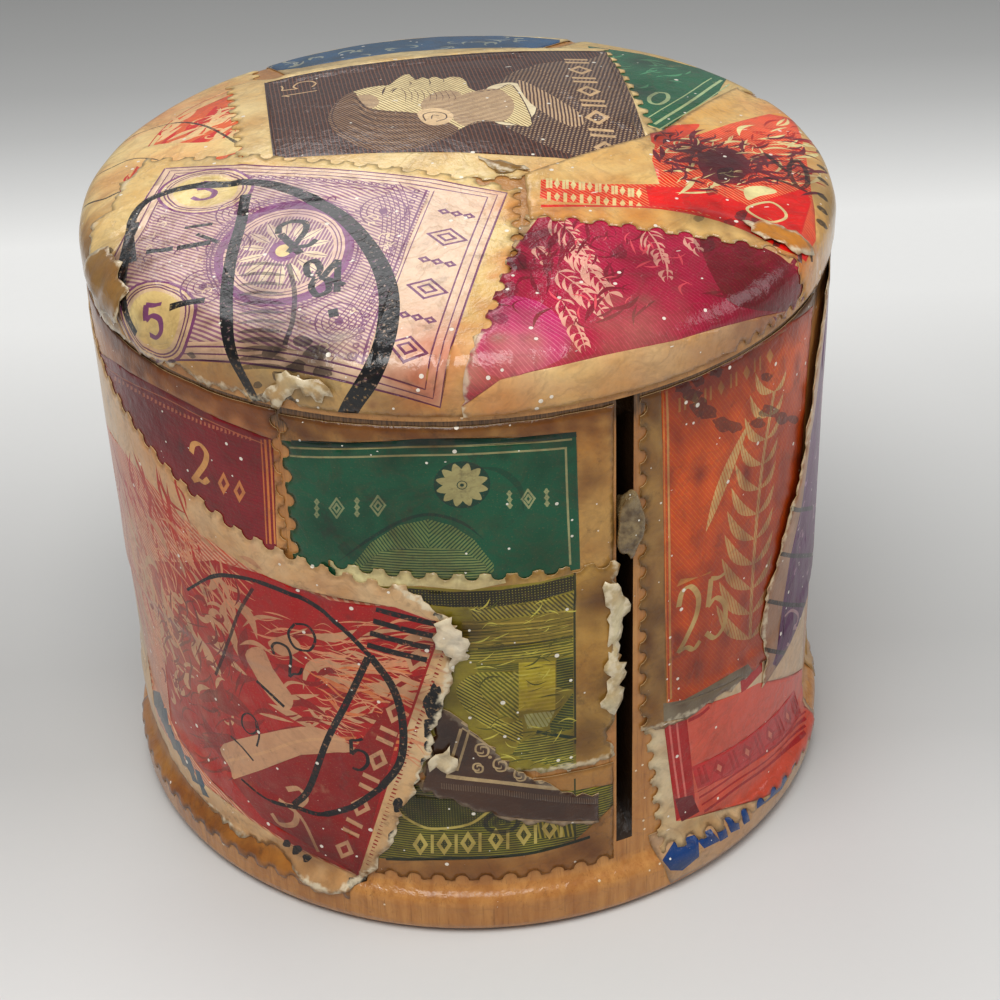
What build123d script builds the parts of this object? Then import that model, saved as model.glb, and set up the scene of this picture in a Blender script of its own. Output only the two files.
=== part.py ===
from build123d import *
import math
import os

# Round stamp box: a turned wooden cup with a lift-off domed lid and an upright
# slot for drawing out a roll of stamps, covered all over with used stamps under varnish.
# Millimetres, +Z up, origin at the centre of the base, slot facing -Y.

# Turned cup
wall_radius = 24.1
bore_radius = 21.3
body_height = 39.4
floor_thickness = 4.0
chamber_corner = 1.5
foot_radius = 25.0
foot_height = 3.2
foot_rounding = 1.0
foot_bend = 1.0
base_groove_radius = 19.0
base_groove_width = 1.2
base_groove_depth = 0.5
mouth_chamfer = 0.3

# Slot for the roll, sawn down from the rim
slot_width = 1.15
slot_bottom = 7.8
slot_runout = 5.4
saw_radius = 12.0

# Lid
lid_radius = 24.2
lid_top = 46.0
lid_corner = 42.9
shoulder_rounding = 2.0
spigot_radius = 21.0
spigot_inner = 18.6
spigot_depth = 3.4
lid_hollow_depth = 3.0

# Paper and glue
paper = 0.12
glue = 0.01
layer_count = 5
edge_gap = 0.25
perforation_pitch = 1.75
perforation_radius = 0.5
floor_clearance = 0.4

# Dried varnish bridging the slot, a little to one side of it
bead_height = 4.6
bead_width = 1.9
bead_bulge = 0.55
bead_middle = 30.6
bead_side = 0.35
tongue_depth = 1.6

# Stamps on the wall: name, layer, sides that are perforated, outline as (way round, height).
# The way round is measured along the wall from the slot, positive towards +X.
wall_stamps = [
    ("wall_stamp_buff", 0, [2], [(-45, 8), (-18.3, 8), (-18.3, 2.2), (-45, 2.2)]),
    ("wall_stamp_maroon", 0, [1], [(-45, 39.1), (-20.6, 39.1), (-20.9, 20), (-45, 18)]),
    ("wall_stamp_green", 0, [3], [(-20.4, 38.9), (-0.75, 39.1), (-0.8, 26), (-20.4, 27)]),
    ("wall_stamp_olive", 1, [0, 3], [(-18, 29.2), (-0.8, 28.4), (-0.7, 13), (-18, 13.5)]),
    ("wall_stamp_moss", 0, [2], [(-18, 12.8), (-0.8, 12.4), (-0.8, 4.1), (-18, 4.1)]),
    ("wall_stamp_brown", 2, [], [
        (-13.3, 12.1), (-12.2, 19.4), (-10.1, 17.4), (-7.7, 13.8), (-4.6, 11.4), (-1.9, 10.3), (-1.9, 7.8), (-8, 9.4),
    ]),
    ("wall_stamp_blue_scrap", 1, [3], [(-44, 9.5), (-29.5, 7.5), (-31, 4.2), (-44, 5.2)]),
    ("wall_stamp_red", 3, [0, 1, 2], [
        (-46, 38.4), (-38.8, 35.2), (-24.2, 29.8), (-13.8, 28.1), (-10.4, 25.2), (-11.5, 19.4),
        (-13.5, 12), (-16.5, 4.7), (-19.3, 2.4), (-26.8, 3.4), (-36, 4.8), (-45, 7.5), (-47, 20),
    ]),
    ("wall_stamp_orange", 2, [3], [(0.95, 39.1), (17.5, 39.1), (16, 13.6), (1.1, 14.3)]),
    ("wall_stamp_rose", 1, [2, 3], [(1.3, 15.6), (20, 15), (21.5, 1.6), (2.6, 3.4)]),
    ("wall_stamp_blue_base", 0, [1], [(1.8, 5), (22, 5), (22.4, 0.8), (3, 0.8)]),
    ("wall_stamp_violet", 3, [3], [(19.8, 38.8), (33, 39.1), (32, 17), (12.1, 11.9), (11.9, 19.4), (15.5, 27)]),
    ("wall_stamp_teal", 2, [0, 1, 2], [(31, 38.4), (51, 36.4), (49, 13), (29.5, 15)]),
    ("wall_stamp_ochre", 1, [1, 2], [(27, 19), (47, 17), (46, 2.0), (26, 2.4)]),
    ("wall_stamp_slate", 1, [0, 1, 2], [(48, 39), (68, 38.2), (67, 19), (47.5, 19)]),
    ("wall_stamp_coral", 3, [0, 1, 2, 3], [(47, 24), (70.5, 28), (73.5, 9.6), (50, 5.4)]),
    ("wall_stamp_cocoa", 0, [2], [(44, 12), (64, 12), (64, 1.9), (44, 1.9)]),
    ("wall_stamp_sage", 2, [1, 2, 3], [(65.5, 39.1), (85.5, 39.1), (84.5, 17), (67, 18.5)]),
    ("wall_stamp_plum", 1, [1, 2], [(66, 18.4), (88, 17.6), (88, 2.2), (68, 2.0)]),
    ("wall_stamp_straw", 0, [1], [(82, 38.8), (98, 38.8), (98, 20), (82, 20)]),
    ("wall_stamp_navy", 3, [0, 1, 2, 3], [(82, 21.6), (101, 24.6), (104, 4.6), (85, 2.1)]),
    ("wall_stamp_vermilion", 1, [0, 1, 2], [(92, 39), (105, 37), (103, 17), (91, 19)]),
]

# Stamps on the lid: name, layer, sides that are perforated, outline seen from above as (x, y).
# A point beyond the edge of the lid takes the paper round the rim.
lid_stamps = [
    ("lid_stamp_red", 0, [0], [(-5.9, 22), (-11, 3.5), (-19, 2), (-26, 0.8), (-27, 14), (-17, 26), (-6, 28)]),
    ("lid_stamp_blue", 0, [], [(-5, 16), (10, 12), (17, 17), (18, 24), (4, 28), (-5, 27)]),
    ("lid_stamp_green", 0, [3], [(10.4, 11.6), (18, 16.4), (27, 12), (25.2, 3.4), (11.6, -5.4), (9.4, 0)]),
    ("lid_stamp_portrait", 1, [2, 3], [(-9.2, 18.9), (17.2, 12.4), (10.4, -10.6), (-14.8, -2.2)]),
    ("lid_stamp_lilac", 2, [0, 1], [
        (-17.6, 9.8), (0.7, -8.8), (-8.9, -28), (-20, -20), (-28, -5), (-24.6, -1.4), (-23.4, 3),
    ]),
    ("lid_stamp_crimson", 3, [0, 4], [
        (-7.3, -20.6), (-0.3, -11.6), (9.6, -14.6), (16.6, -19.2), (20, -22), (10, -30), (-9, -30), (-9.6, -22.7),
    ]),
    ("lid_stamp_pink", 4, [0], [(-0.3, -12.2), (15.2, -20.8), (19, -26), (28, -7), (22.2, 2.6), (12.2, -4.9), (1.6, -7.4)]),
    ("lid_stamp_tan", 0, [], [(-21.5, 0.4), (-20.5, -6), (-28, -9), (-28, 0.2)]),
]
rim_margin = 0.35

# A radius that is clear of everything
beyond = 30


def along(start, end, pitch):
    """Evenly spaced points from one corner of an outline to the next."""
    length = math.dist(start, end)
    count = max(2, round(length / pitch))
    return [
        (start[0] + (end[0] - start[0]) * (i + 0.5) / count, start[1] + (end[1] - start[1]) * (i + 0.5) / count)
        for i in range(count)
    ]


def perforations(outline, sides):
    """Centres of the half holes along the chosen sides of an outline."""
    centres = []
    for side in sides:
        centres += along(outline[side], outline[(side + 1) % len(outline)], perforation_pitch)
    return centres


def wall_solid(clear):
    """The outside of the cup, filled in, with every radius larger by clear."""
    step = (foot_radius - wall_radius) / 2
    sweep = math.acos(1 - step / foot_bend)
    bend_height = foot_bend * math.sin(sweep)
    foot_outer = foot_radius + clear
    wall_outer = wall_radius + clear
    middle = (wall_outer + step, foot_height)
    with BuildPart() as shape:
        with BuildSketch(Plane.XZ):
            with BuildLine():
                Line((0, 0), (foot_outer - foot_rounding, 0))
                TangentArc((foot_outer - foot_rounding, 0), (foot_outer, foot_rounding), tangent=(1, 0))
                Line((foot_outer, foot_rounding), (foot_outer, foot_height - bend_height))
                TangentArc((foot_outer, foot_height - bend_height), middle, tangent=(0, 1))
                TangentArc((wall_outer, foot_height + bend_height), middle, tangent=(0, -1))
                Line((wall_outer, foot_height + bend_height), (wall_outer, body_height))
                Line((wall_outer, body_height), (0, body_height))
                Line((0, body_height), (0, 0))
            make_face()
        revolve(axis=Axis.Z)
    return shape.part


def dome_solid(clear):
    """The outside of the lid, filled in, and swollen by clear."""
    with BuildPart() as shape:
        rise = lid_top - lid_corner
        cap_radius = (lid_radius**2 + rise**2) / (2 * rise)
        cap_centre = lid_top - cap_radius
        swollen = cap_radius + clear
        corner = cap_centre + math.sqrt(swollen**2 - (lid_radius + clear) ** 2)
        half = math.asin((lid_radius + clear) / swollen) / 2
        with BuildSketch(Plane.XZ):
            with BuildLine():
                Line((0, body_height), (lid_radius + clear, body_height))
                Line((lid_radius + clear, body_height), (lid_radius + clear, corner))
                ThreePointArc(
                    (lid_radius + clear, corner),
                    (swollen * math.sin(half), cap_centre + swollen * math.cos(half)),
                    (0, lid_top + clear),
                )
                Line((0, lid_top + clear), (0, body_height))
            make_face()
        revolve(axis=Axis.Z)
        rings = shape.edges().filter_by(GeomType.CIRCLE).filter_by(lambda e: abs(e.radius - lid_radius - clear) < glue)
        fillet(rings.sort_by(Axis.Z)[-1], shoulder_rounding + clear)
    return shape.part


def layer_start(layer):
    """How far a layer of paper lies off the wood."""
    return glue + layer * (paper + glue)


def export(shape, label):
    shape.part.label = label
    export_step(shape.part, f"parts/{label}.step")


os.makedirs("parts", exist_ok=True)

# Cup, with the chamber, a turned groove underneath and the sawn slot
with BuildPart() as body:
    add(wall_solid(0))
    with BuildSketch(Plane.XY.offset(floor_thickness)):
        Circle(bore_radius)
    extrude(amount=body_height, mode=Mode.SUBTRACT)
    bore_edges = body.edges().filter_by(GeomType.CIRCLE).filter_by(lambda e: abs(e.radius - bore_radius) < glue)
    fillet(bore_edges.sort_by(Axis.Z)[0], chamber_corner)
    with BuildSketch():
        Circle(base_groove_radius + base_groove_width / 2)
        Circle(base_groove_radius - base_groove_width / 2, mode=Mode.SUBTRACT)
    extrude(amount=base_groove_depth, mode=Mode.SUBTRACT)
    bore_edges = body.edges().filter_by(GeomType.CIRCLE).filter_by(lambda e: abs(e.radius - bore_radius) < glue)
    chamfer(bore_edges.sort_by(Axis.Z)[-1], mouth_chamfer)
    with BuildSketch(Plane.XZ):
        with Locations((0, slot_bottom)):
            Rectangle(slot_width, body_height, align=(Align.CENTER, Align.MIN))
    extrude(amount=beyond, mode=Mode.SUBTRACT)
    # The saw meets the bore at the slot's bottom and leaves the wall at its run-out.
    chord = math.dist((bore_radius, slot_bottom), (wall_radius, slot_runout))
    reach = math.sqrt(saw_radius**2 - (chord / 2) ** 2) / chord
    saw_y = -(bore_radius + wall_radius) / 2 - reach * (slot_bottom - slot_runout)
    saw_z = (slot_bottom + slot_runout) / 2 + reach * (wall_radius - bore_radius)
    with BuildSketch(Plane.YZ.offset(-slot_width / 2)):
        with Locations((saw_y, saw_z)):
            Circle(saw_radius)
    extrude(amount=slot_width, mode=Mode.SUBTRACT)
export(body, "body")

# Lid, hollow underneath, with the spigot that drops into the cup
with BuildPart() as lid:
    add(dome_solid(0))
    with BuildSketch(Plane.XY.offset(body_height - spigot_depth)):
        Circle(spigot_radius)
    extrude(amount=spigot_depth + lid_hollow_depth / 2)
    with BuildSketch(Plane.XY.offset(body_height - spigot_depth)):
        Circle(spigot_inner)
    extrude(amount=spigot_depth + lid_hollow_depth, mode=Mode.SUBTRACT)
    spigot_end = lid.edges().filter_by(GeomType.CIRCLE).group_by(Axis.Z)[0].sort_by(SortBy.RADIUS)[-1]
    chamfer(spigot_end, mouth_chamfer)
export(lid, "lid")

# Dried varnish: a flattened lump over the slot with a tongue down inside it
bead_start = wall_radius + layer_start(layer_count - 1)
with BuildPart() as varnish_bead:
    with BuildSketch(Plane.XZ.offset(wall_radius - tongue_depth)):
        with Locations((bead_side, bead_middle)):
            Ellipse(bead_width / 2, bead_height / 2)
    extrude(amount=tongue_depth + bead_start - wall_radius + bead_bulge + bead_width)
    with BuildSketch(Plane.XY.offset(bead_middle - bead_height)):
        Circle(bead_start + bead_bulge)
        Circle(bead_start, mode=Mode.SUBTRACT)
        with Locations((0, -bead_start)):
            Rectangle(slot_width - 2 * glue, 2 * tongue_depth, align=(Align.CENTER, Align.MIN))
    extrude(amount=2 * bead_height, mode=Mode.INTERSECT)
export(varnish_bead, "varnish_bead")

# The skins that the layers of paper fill
wall_skins = []
lid_skins = []
for layer in range(layer_count):
    start = layer_start(layer)
    with BuildPart() as wall_skin:
        add(wall_solid(start + paper))
        add(wall_solid(start), mode=Mode.SUBTRACT)
        with BuildSketch(Plane.XY):
            Circle(beyond)
        extrude(amount=floor_clearance, mode=Mode.SUBTRACT)
        with BuildSketch(Plane.XY.offset(body_height - edge_gap)):
            Circle(beyond)
        extrude(amount=2 * edge_gap, mode=Mode.SUBTRACT)
    wall_skins.append(wall_skin.part)
    with BuildPart() as lid_skin:
        add(dome_solid(start + paper))
        add(dome_solid(start), mode=Mode.SUBTRACT)
        with BuildSketch(Plane.XY.offset(body_height)):
            Circle(beyond)
        extrude(amount=rim_margin, mode=Mode.SUBTRACT)
    lid_skins.append(lid_skin.part)

for name, layer, sides, outline in wall_stamps:
    arcs = [point[0] for point in outline]
    middle = (min(arcs) + max(arcs)) / 2
    turn = middle / wall_radius
    flat = [(wall_radius * math.sin(s / wall_radius - turn), z) for s, z in outline]
    facing = Plane(
        origin=(0, 0, 0),
        x_dir=(math.cos(turn), math.sin(turn), 0),
        z_dir=(math.sin(turn), -math.cos(turn), 0),
    )
    with BuildPart() as stamp:
        with BuildSketch(facing):
            with BuildLine():
                Polyline(*flat, close=True)
            make_face()
            with Locations(*perforations(flat, sides)):
                Circle(perforation_radius, mode=Mode.SUBTRACT)
        extrude(amount=beyond)
        add(wall_skins[layer], mode=Mode.INTERSECT)
    export(stamp, name)

for name, layer, sides, outline in lid_stamps:
    with BuildPart() as stamp:
        with BuildSketch(Plane.XY.offset(body_height)):
            with BuildLine():
                Polyline(*outline, close=True)
            make_face()
            with Locations(*perforations(outline, sides)):
                Circle(perforation_radius, mode=Mode.SUBTRACT)
        extrude(amount=lid_top)
        add(lid_skins[layer], mode=Mode.INTERSECT)
    export(stamp, name)
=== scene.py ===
import math

import bpy
import numpy as np
from mathutils import Matrix, Vector
from mathutils.geometry import delaunay_2d_cdt


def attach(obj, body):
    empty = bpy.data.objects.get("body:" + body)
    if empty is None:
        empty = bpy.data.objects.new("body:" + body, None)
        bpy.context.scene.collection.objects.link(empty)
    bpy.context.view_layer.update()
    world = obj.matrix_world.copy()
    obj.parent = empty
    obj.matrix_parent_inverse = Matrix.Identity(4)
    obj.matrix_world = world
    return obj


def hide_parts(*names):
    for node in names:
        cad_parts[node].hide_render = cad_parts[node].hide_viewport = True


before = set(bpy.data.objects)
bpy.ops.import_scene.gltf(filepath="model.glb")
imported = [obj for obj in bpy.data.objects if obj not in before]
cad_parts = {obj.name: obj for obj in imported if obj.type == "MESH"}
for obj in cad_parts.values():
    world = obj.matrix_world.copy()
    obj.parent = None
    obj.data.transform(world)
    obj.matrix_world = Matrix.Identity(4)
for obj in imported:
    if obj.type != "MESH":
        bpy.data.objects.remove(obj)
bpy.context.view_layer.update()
MM = 0.001

# Sizes of the turned box in millimetres, as in the CAD source
WALL_R = 24.1
FOOT_R = 25.0
FOOT_ROUND = 1.0
FOOT_MID = 3.2
BODY_TOP = 39.4
SLOT_HALF = 0.575
LID_R = 24.2
LID_TOP = 46.0
LID_CORNER = 42.9
LID_ROUND = 2.0
RIM_GAP = 0.35
BEAD_Z = 30.6
BEAD_SIDE = 0.35

# Paper: thickness, what each layer adds, the glue beneath, perforation pitch and hole radius, mesh spacing
PAPER = 0.11
LAYER = 0.135
GLUE = 0.012
PITCH = 1.62
HOLE_R = 0.46
GRID = 0.34

# The camera, from the fit to the photograph
CAM_TURN = math.radians(-22.13)
CAM_RISE = math.radians(33.619)
CAM_ROLL = math.radians(-2.649)
CAM_FAR = 152.27
CAM_AIM = 18.85
CAM_FOCAL_PX = 2150.4
CAM_CENTRE_PX = (469.47, 487.07)
FRAME_PX = 1000.0

# Colours and node arithmetic


def rgb(r, g, b):
    """Screen values 0 to 255 as linear light."""
    def one(v):
        v /= 255
        return v / 12.92 if v <= 0.04045 else ((v + 0.055) / 1.055) ** 2.4
    return (one(r), one(g), one(b))


def vivid(colour, power=1.2, gain=1.0):
    """A linear colour pushed away from its own grey."""
    grey = sum(colour) / 3
    return tuple(min(0.92, max(0.002, (grey + (c - grey) * power) * gain)) for c in colour)


def new_node(nodes, kind, inputs, out=0, **settings):
    """A new node with its settings made and its inputs linked or set, as a Val of one output."""
    node = nodes.nodes.new("ShaderNode" + kind)
    for key, value in settings.items():
        setattr(node, key, value)
    for key, value in inputs.items():
        plug(nodes, value, node.inputs[key])
    return Val(nodes, node.outputs[out])


def plug(nodes, value, socket):
    """Links a Val to a socket, or sets a number, a colour or a vector on it."""
    if isinstance(value, Val):
        nodes.links.new(value.sock, socket)
    else:
        socket.default_value = (*value, 1.0) if socket.type == "RGBA" else value


class Val:
    """A number travelling through a node tree."""

    def __init__(self, tree, sock):
        self.tree, self.sock = tree, sock

    def _op(self, kind, other=None, swap=False):
        args = (other, self) if swap else (self,) if other is None else (self, other)
        return new_node(self.tree, "Math", dict(enumerate(args)), operation=kind)

    def __add__(self, o): return self._op("ADD", o)
    def __sub__(self, o): return self._op("SUBTRACT", o)
    def __rsub__(self, o): return self._op("SUBTRACT", o, swap=True)
    def __mul__(self, o): return self._op("MULTIPLY", o)
    def __truediv__(self, o): return self._op("DIVIDE", o)
    def __gt__(self, o): return self._op("GREATER_THAN", o)
    def __lt__(self, o): return self._op("LESS_THAN", o)
    def abs(self): return self._op("ABSOLUTE")
    def fract(self): return self._op("FRACT")
    def cos(self): return self._op("COSINE")
    def sin(self): return self._op("SINE")
    def power(self, o): return self._op("POWER", o)
    def low(self, o): return self._op("MINIMUM", o)
    def high(self, o): return self._op("MAXIMUM", o)

    def step(self, a, b):
        """0 below a and 1 above b, smoothly between."""
        ends = {"Value": self, "From Min": a, "From Max": b}
        return new_node(self.tree, "MapRange", ends, "Result", interpolation_type="SMOOTHSTEP")


class Tree:
    """Short names for the nodes that the materials are built from."""

    def __init__(self, name):
        self.material = bpy.data.materials.new(name)
        self.material.use_nodes = True
        self.nodes = self.material.node_tree
        self.shader = self.nodes.nodes["Principled BSDF"]

    def attr(self, name, out="Fac"):
        return new_node(self.nodes, "Attribute", {}, out, attribute_name=name)

    def space(self):
        """Object coordinates in millimetres."""
        metres = new_node(self.nodes, "TexCoord", {}, "Object")
        return new_node(self.nodes, "VectorMath", {0: metres, "Scale": 1 / MM}, operation="SCALE")

    def moved(self, vec, scale=(1, 1, 1), turn=(0, 0, 0), shift=(0, 0, 0)):
        inputs = {"Vector": vec, "Scale": scale, "Rotation": turn, "Location": shift}
        return new_node(self.nodes, "Mapping", inputs)

    def noise(self, vec, size, detail=3.0, rough=0.55, warp=0.0):
        """Soft noise around 0.5, with lumps about as wide as size."""
        inputs = {"Vector": vec, "Scale": 1 / size, "Detail": detail, "Roughness": rough, "Distortion": warp}
        return new_node(self.nodes, "TexNoise", inputs, "Fac")

    def cells(self, vec, size):
        """The distance to the nearest of scattered points, and that point's own random colour."""
        distance = new_node(self.nodes, "TexVoronoi", {"Vector": vec, "Scale": 1 / size}, "Distance")
        return distance, Val(self.nodes, distance.sock.node.outputs["Color"])

    def split(self, vec):
        first = new_node(self.nodes, "SeparateXYZ", {0: vec})
        return [Val(self.nodes, o) for o in first.sock.node.outputs]

    def mix(self, fac, a, b, blend="MIX"):
        """From colour a to colour b. Sockets 6, 7 and 2 are the node's colours."""
        return new_node(self.nodes, "Mix", {0: fac, 6: a, 7: b}, 2, data_type="RGBA", blend_type=blend,
                        clamp_factor=True)

    def bump(self, height, reach):
        return new_node(self.nodes, "Bump", {"Height": height, "Distance": reach, "Strength": 1.0}, "Normal")

    def set(self, **inputs):
        """Sets or links inputs of the shader. An underscore stands for the space in a name."""
        for key, value in inputs.items():
            plug(self.nodes, value, self.shader.inputs[key.replace("_", " ")])


def specks(tree, p):
    """Tiny white dots and short glints caught in the varnish, 0 to 1; painted white into the colour, the dots
    are partly dust and the glints are painted highlights.
    """
    dist, tint = tree.cells(p, 0.85)
    pick, size, _ = tree.split(tint)
    total = (dist < (size * size * 0.17 + 0.015)) * (pick > 0.45)
    q = tree.moved(p, (0.2, 1.0, 1.0), (0.4, 0.9, 0.3), (3.1, 0.7, 5.2))
    d, c = tree.cells(q, 0.8)
    near, long, _ = tree.split(c)
    return total.high((d < (long * 0.05 + 0.02)) * (near > 0.74))


def varnish(tree, p, flecks_and_glints, rough=0.34, lumps=1.0, coat=0.75):
    """Thick brushed varnish: a glossy coat over an uneven, wrinkled surface."""
    swell = tree.noise(p, 3.2, 2.0)
    peel = tree.noise(p, 0.62, 4.0, 0.62)
    folds = 1.0 - ((tree.noise(p, 3.6, 4.0, 0.6, 0.8) - 0.5).abs() * 22.0).low(1.0)
    height = swell * (0.35 * lumps) + peel * (0.16 * lumps) + folds * 0.028 + flecks_and_glints * 0.06
    wet = tree.bump(height, 0.00035)
    tree.set(Coat_Normal=wet, Normal=wet, Roughness=rough, Specular_IOR_Level=0.12)
    tree.set(Coat_Weight=coat, Coat_Roughness=0.10, Coat_IOR=1.45)
    return folds


def paper_material(name, paper, soak=0.35, dirt=0.5, fade=0.12, white=0.6, coat=0.75):
    """Printed paper under varnish. Ink, hatching and cancels come from the mesh. Dirt sets the soot and the
    darkening along the paper's edge, which is part dirt and part painted shade.
    """
    tree = Tree(name)
    p = tree.space()
    place = tree.attr("place", "Vector")
    u, v, _ = tree.split(place)
    edge, torn = tree.attr("edge"), tree.attr("torn")
    wave = tree.noise(place, 1.6, 2.0) * 0.10
    hatch = tree.attr("hatch", "Vector")
    turn, pitch, duty = tree.split(hatch)
    ink_a, ink_b = tree.attr("ink_a", "Color"), tree.attr("ink_b", "Color")
    flags = tree.attr("flags", "Vector")
    cross, cover, mark = tree.split(flags)
    along = (u * turn.cos() + v * turn.sin() + wave) / pitch
    across = (v * turn.cos() - u * turn.sin() + wave) / pitch
    rough_ink = tree.noise(place, 0.22, 3.0)
    width = duty + (rough_ink - 0.5) * 0.25
    line = 1.0 - ((along.fract() - 0.5).abs() * 2.0).step(width - 0.12, width + 0.12)
    line2 = 1.0 - ((across.fract() - 0.5).abs() * 2.0).step(width - 0.12, width + 0.12)
    line = line.high(line2 * cross)
    printed = tree.mix(line, ink_b, ink_a)
    blot = tree.noise(place, 5.5, 4.0, 0.6)
    fibre = tree.noise(place, 0.35, 4.0, 0.7)
    blank = vivid(rgb(*paper), 1.15)
    base = tree.mix(blot.step(0.35, 0.75), blank, tuple(a * b for a, b in zip(blank, (0.88, 0.68, 0.42))))
    base = tree.mix((fibre - 0.35).high(0.0) * 0.9, base, tuple(c * 0.72 for c in rgb(*paper)))
    grain = tree.noise(place, 0.13, 3.0, 0.7)
    worn = tree.noise(place, 2.4, 5.0, 0.65)
    keep = cover * (1.0 - (grain.step(0.56, 0.74) * (fade + 0.12)) - worn.step(0.62, 0.78) * fade * 2.0)
    colour = tree.mix(keep, base, printed)
    mottle = tree.noise(place, 0.55, 4.0, 0.6)
    colour = tree.mix((mottle - 0.5).abs() * 0.55, colour, (0.03, 0.02, 0.012))
    soaked = tree.noise(p, 5.5, 5.0, 0.62, 0.6).step(0.44, 0.66) * soak
    colour = tree.mix(soaked, colour, rgb(150, 96, 40), "MULTIPLY")
    colour = tree.mix(1.0, colour, tree.attr("stain_and_shade", "Color"), "MULTIPLY")
    # Milky patches of varnish; those on the lid's crimson and lilac stamps are painted sheen.
    colour = tree.mix(tree.attr("haze_and_sheen"), colour, rgb(214, 190, 158))
    # Darker along the paper's edge: dirt and painted shade.
    edge_dirt_and_shade = (1.0 - (edge + (mottle - 0.5) * 0.5).step(0.0, 0.38)) * dirt
    colour = tree.mix(edge_dirt_and_shade * 0.75, colour, rgb(64, 40, 20))
    soot = tree.noise(p, 2.1, 6.0, 0.74).step(0.56, 0.70) * dirt * 0.75
    colour = tree.mix(soot, colour, rgb(40, 30, 24))
    broken = tree.noise(place, 0.28, 3.0, 0.65)
    cancel = mark * (1.0 - broken.step(0.55, 0.70) * 0.6)
    colour = tree.mix(cancel, colour, rgb(13, 12, 14))
    rip = (1.0 - (torn + (tree.noise(place, 0.6, 4.0) - 0.5) * 1.1).step(0.02, 0.34)) * white
    colour = tree.mix(rip, colour, rgb(226, 210, 178))
    side = tree.attr("side")
    colour = tree.mix((side > 1.5) * 0.8, colour, rgb(196, 166, 120))
    flecks_and_glints = specks(tree, p)
    # White dots of dust and painted glints.
    colour = tree.mix(flecks_and_glints * 0.85, colour, rgb(246, 238, 222))
    folds = varnish(tree, p, flecks_and_glints, 0.38, 1.0, coat)
    tree.set(Base_Color=tree.mix(folds * 0.16, colour, rgb(80, 52, 30)))
    return tree.material


def wood_material(name, tones, streak=(1.0, 1.0, 0.12), sawn_slot=False):
    """Honey-coloured turned wood, grain upright, under the same varnish."""
    tree = Tree(name)
    p = tree.space()
    long = tree.moved(p, streak)
    rings = tree.noise(long, 0.55, 5.0, 0.6, 0.4)
    broad = tree.noise(long, 2.6, 3.0)
    pores = tree.noise(tree.moved(p, (streak[0] * 3.4, streak[1] * 3.4, streak[2])), 0.4, 2.0)
    colour = tree.mix(rings.step(0.3, 0.7), rgb(*tones[0]), rgb(*tones[1]))
    colour = tree.mix(broad.step(0.4, 0.7) * 0.6, colour, rgb(*tones[2]))
    colour = tree.mix(pores.step(0.58, 0.72) * 0.35, colour, rgb(92, 54, 22))
    patch = tree.noise(p, 4.0, 5.0, 0.6, 0.5)
    colour = tree.mix(patch.step(0.5, 0.8) * 0.5, colour, rgb(158, 92, 34))
    dirt = tree.noise(p, 1.2, 6.0, 0.72)
    colour = tree.mix(dirt.step(0.6, 0.78) * 0.5, colour, rgb(60, 38, 20))
    flecks_and_glints = specks(tree, p)
    # White dots of dust and painted glints.
    colour = tree.mix(flecks_and_glints * 0.8, colour, rgb(240, 226, 196))
    if sawn_slot:
        x, y, z = tree.split(p)
        radius = (x * x + y * y).power(0.5)
        fibre = tree.noise(tree.moved(p, (3.0, 3.0, 0.2)), 0.3, 4.0, 0.7)
        # A dark brown band round the top of the wall: stained wood and painted shade from the lid's overhang.
        band = (z + (fibre - 0.5) * 2.2).step(37.2, 38.4) * (radius > 23.6)
        brown = tree.mix(fibre.step(0.35, 0.65), rgb(112, 78, 44), rgb(52, 33, 17))
        colour = tree.mix(band * 0.92, colour, brown)
        # The walls of the slot are painted near black: painted shade inside the opening.
        in_wall = (radius < WALL_R - 0.02) * (y < -20.0) * (z > 4.6) * (z < BODY_TOP)
        sawn = (x.abs() < SLOT_HALF + 0.03) * in_wall
        colour = tree.mix(sawn * 0.96, colour, rgb(20, 13, 9))
    folds = varnish(tree, p, flecks_and_glints, 0.38, 1.0, 0.65)
    tree.set(Base_Color=tree.mix(folds * 0.10, colour, rgb(90, 54, 26)))
    return tree.material


# Surfaces

STEP = (FOOT_R - WALL_R) / 2
BEND = math.sin(math.acos(1 - STEP))
RISE = LID_TOP - LID_CORNER
CAP_R = (LID_R**2 + RISE**2) / (2 * RISE)
CAP_Z = LID_TOP - CAP_R
FIL_R = LID_R - LID_ROUND
FIL_Z = CAP_Z + math.sqrt((CAP_R - LID_ROUND) ** 2 - FIL_R**2)
FIL_T = math.asin(FIL_R / (CAP_R - LID_ROUND))
RHO_1 = CAP_R * FIL_T
RHO_2 = RHO_1 + LID_ROUND * (math.pi / 2 - FIL_T)
RHO_3 = RHO_2 + FIL_Z - BODY_TOP - RIM_GAP


def wall_profile(z):
    """Radius of the bare wood at a height."""
    z = np.asarray(z, float)
    r = np.full(z.shape, WALL_R)
    low = np.clip(z, 0, FOOT_ROUND)
    r = np.where(z < FOOT_ROUND, FOOT_R - FOOT_ROUND + np.sqrt(np.maximum(0, 1 - (1 - low) ** 2)), r)
    r = np.where((z >= FOOT_ROUND) & (z < FOOT_MID - BEND), FOOT_R, r)
    a = np.clip(z - (FOOT_MID - BEND), 0, BEND)
    r = np.where((z >= FOOT_MID - BEND) & (z < FOOT_MID), FOOT_R - 1 + np.sqrt(1 - a**2), r)
    b = np.clip(FOOT_MID + BEND - z, 0, BEND)
    return np.where((z >= FOOT_MID) & (z < FOOT_MID + BEND), WALL_R + 1 - np.sqrt(1 - b**2), r)


def wall_point(uv, h):
    """Way round the wall from the slot and height, to a place in space."""
    a = uv[:, 0] / WALL_R
    r = wall_profile(uv[:, 1]) + h
    return np.stack([r * np.sin(a), -r * np.cos(a), uv[:, 1]], 1)


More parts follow.
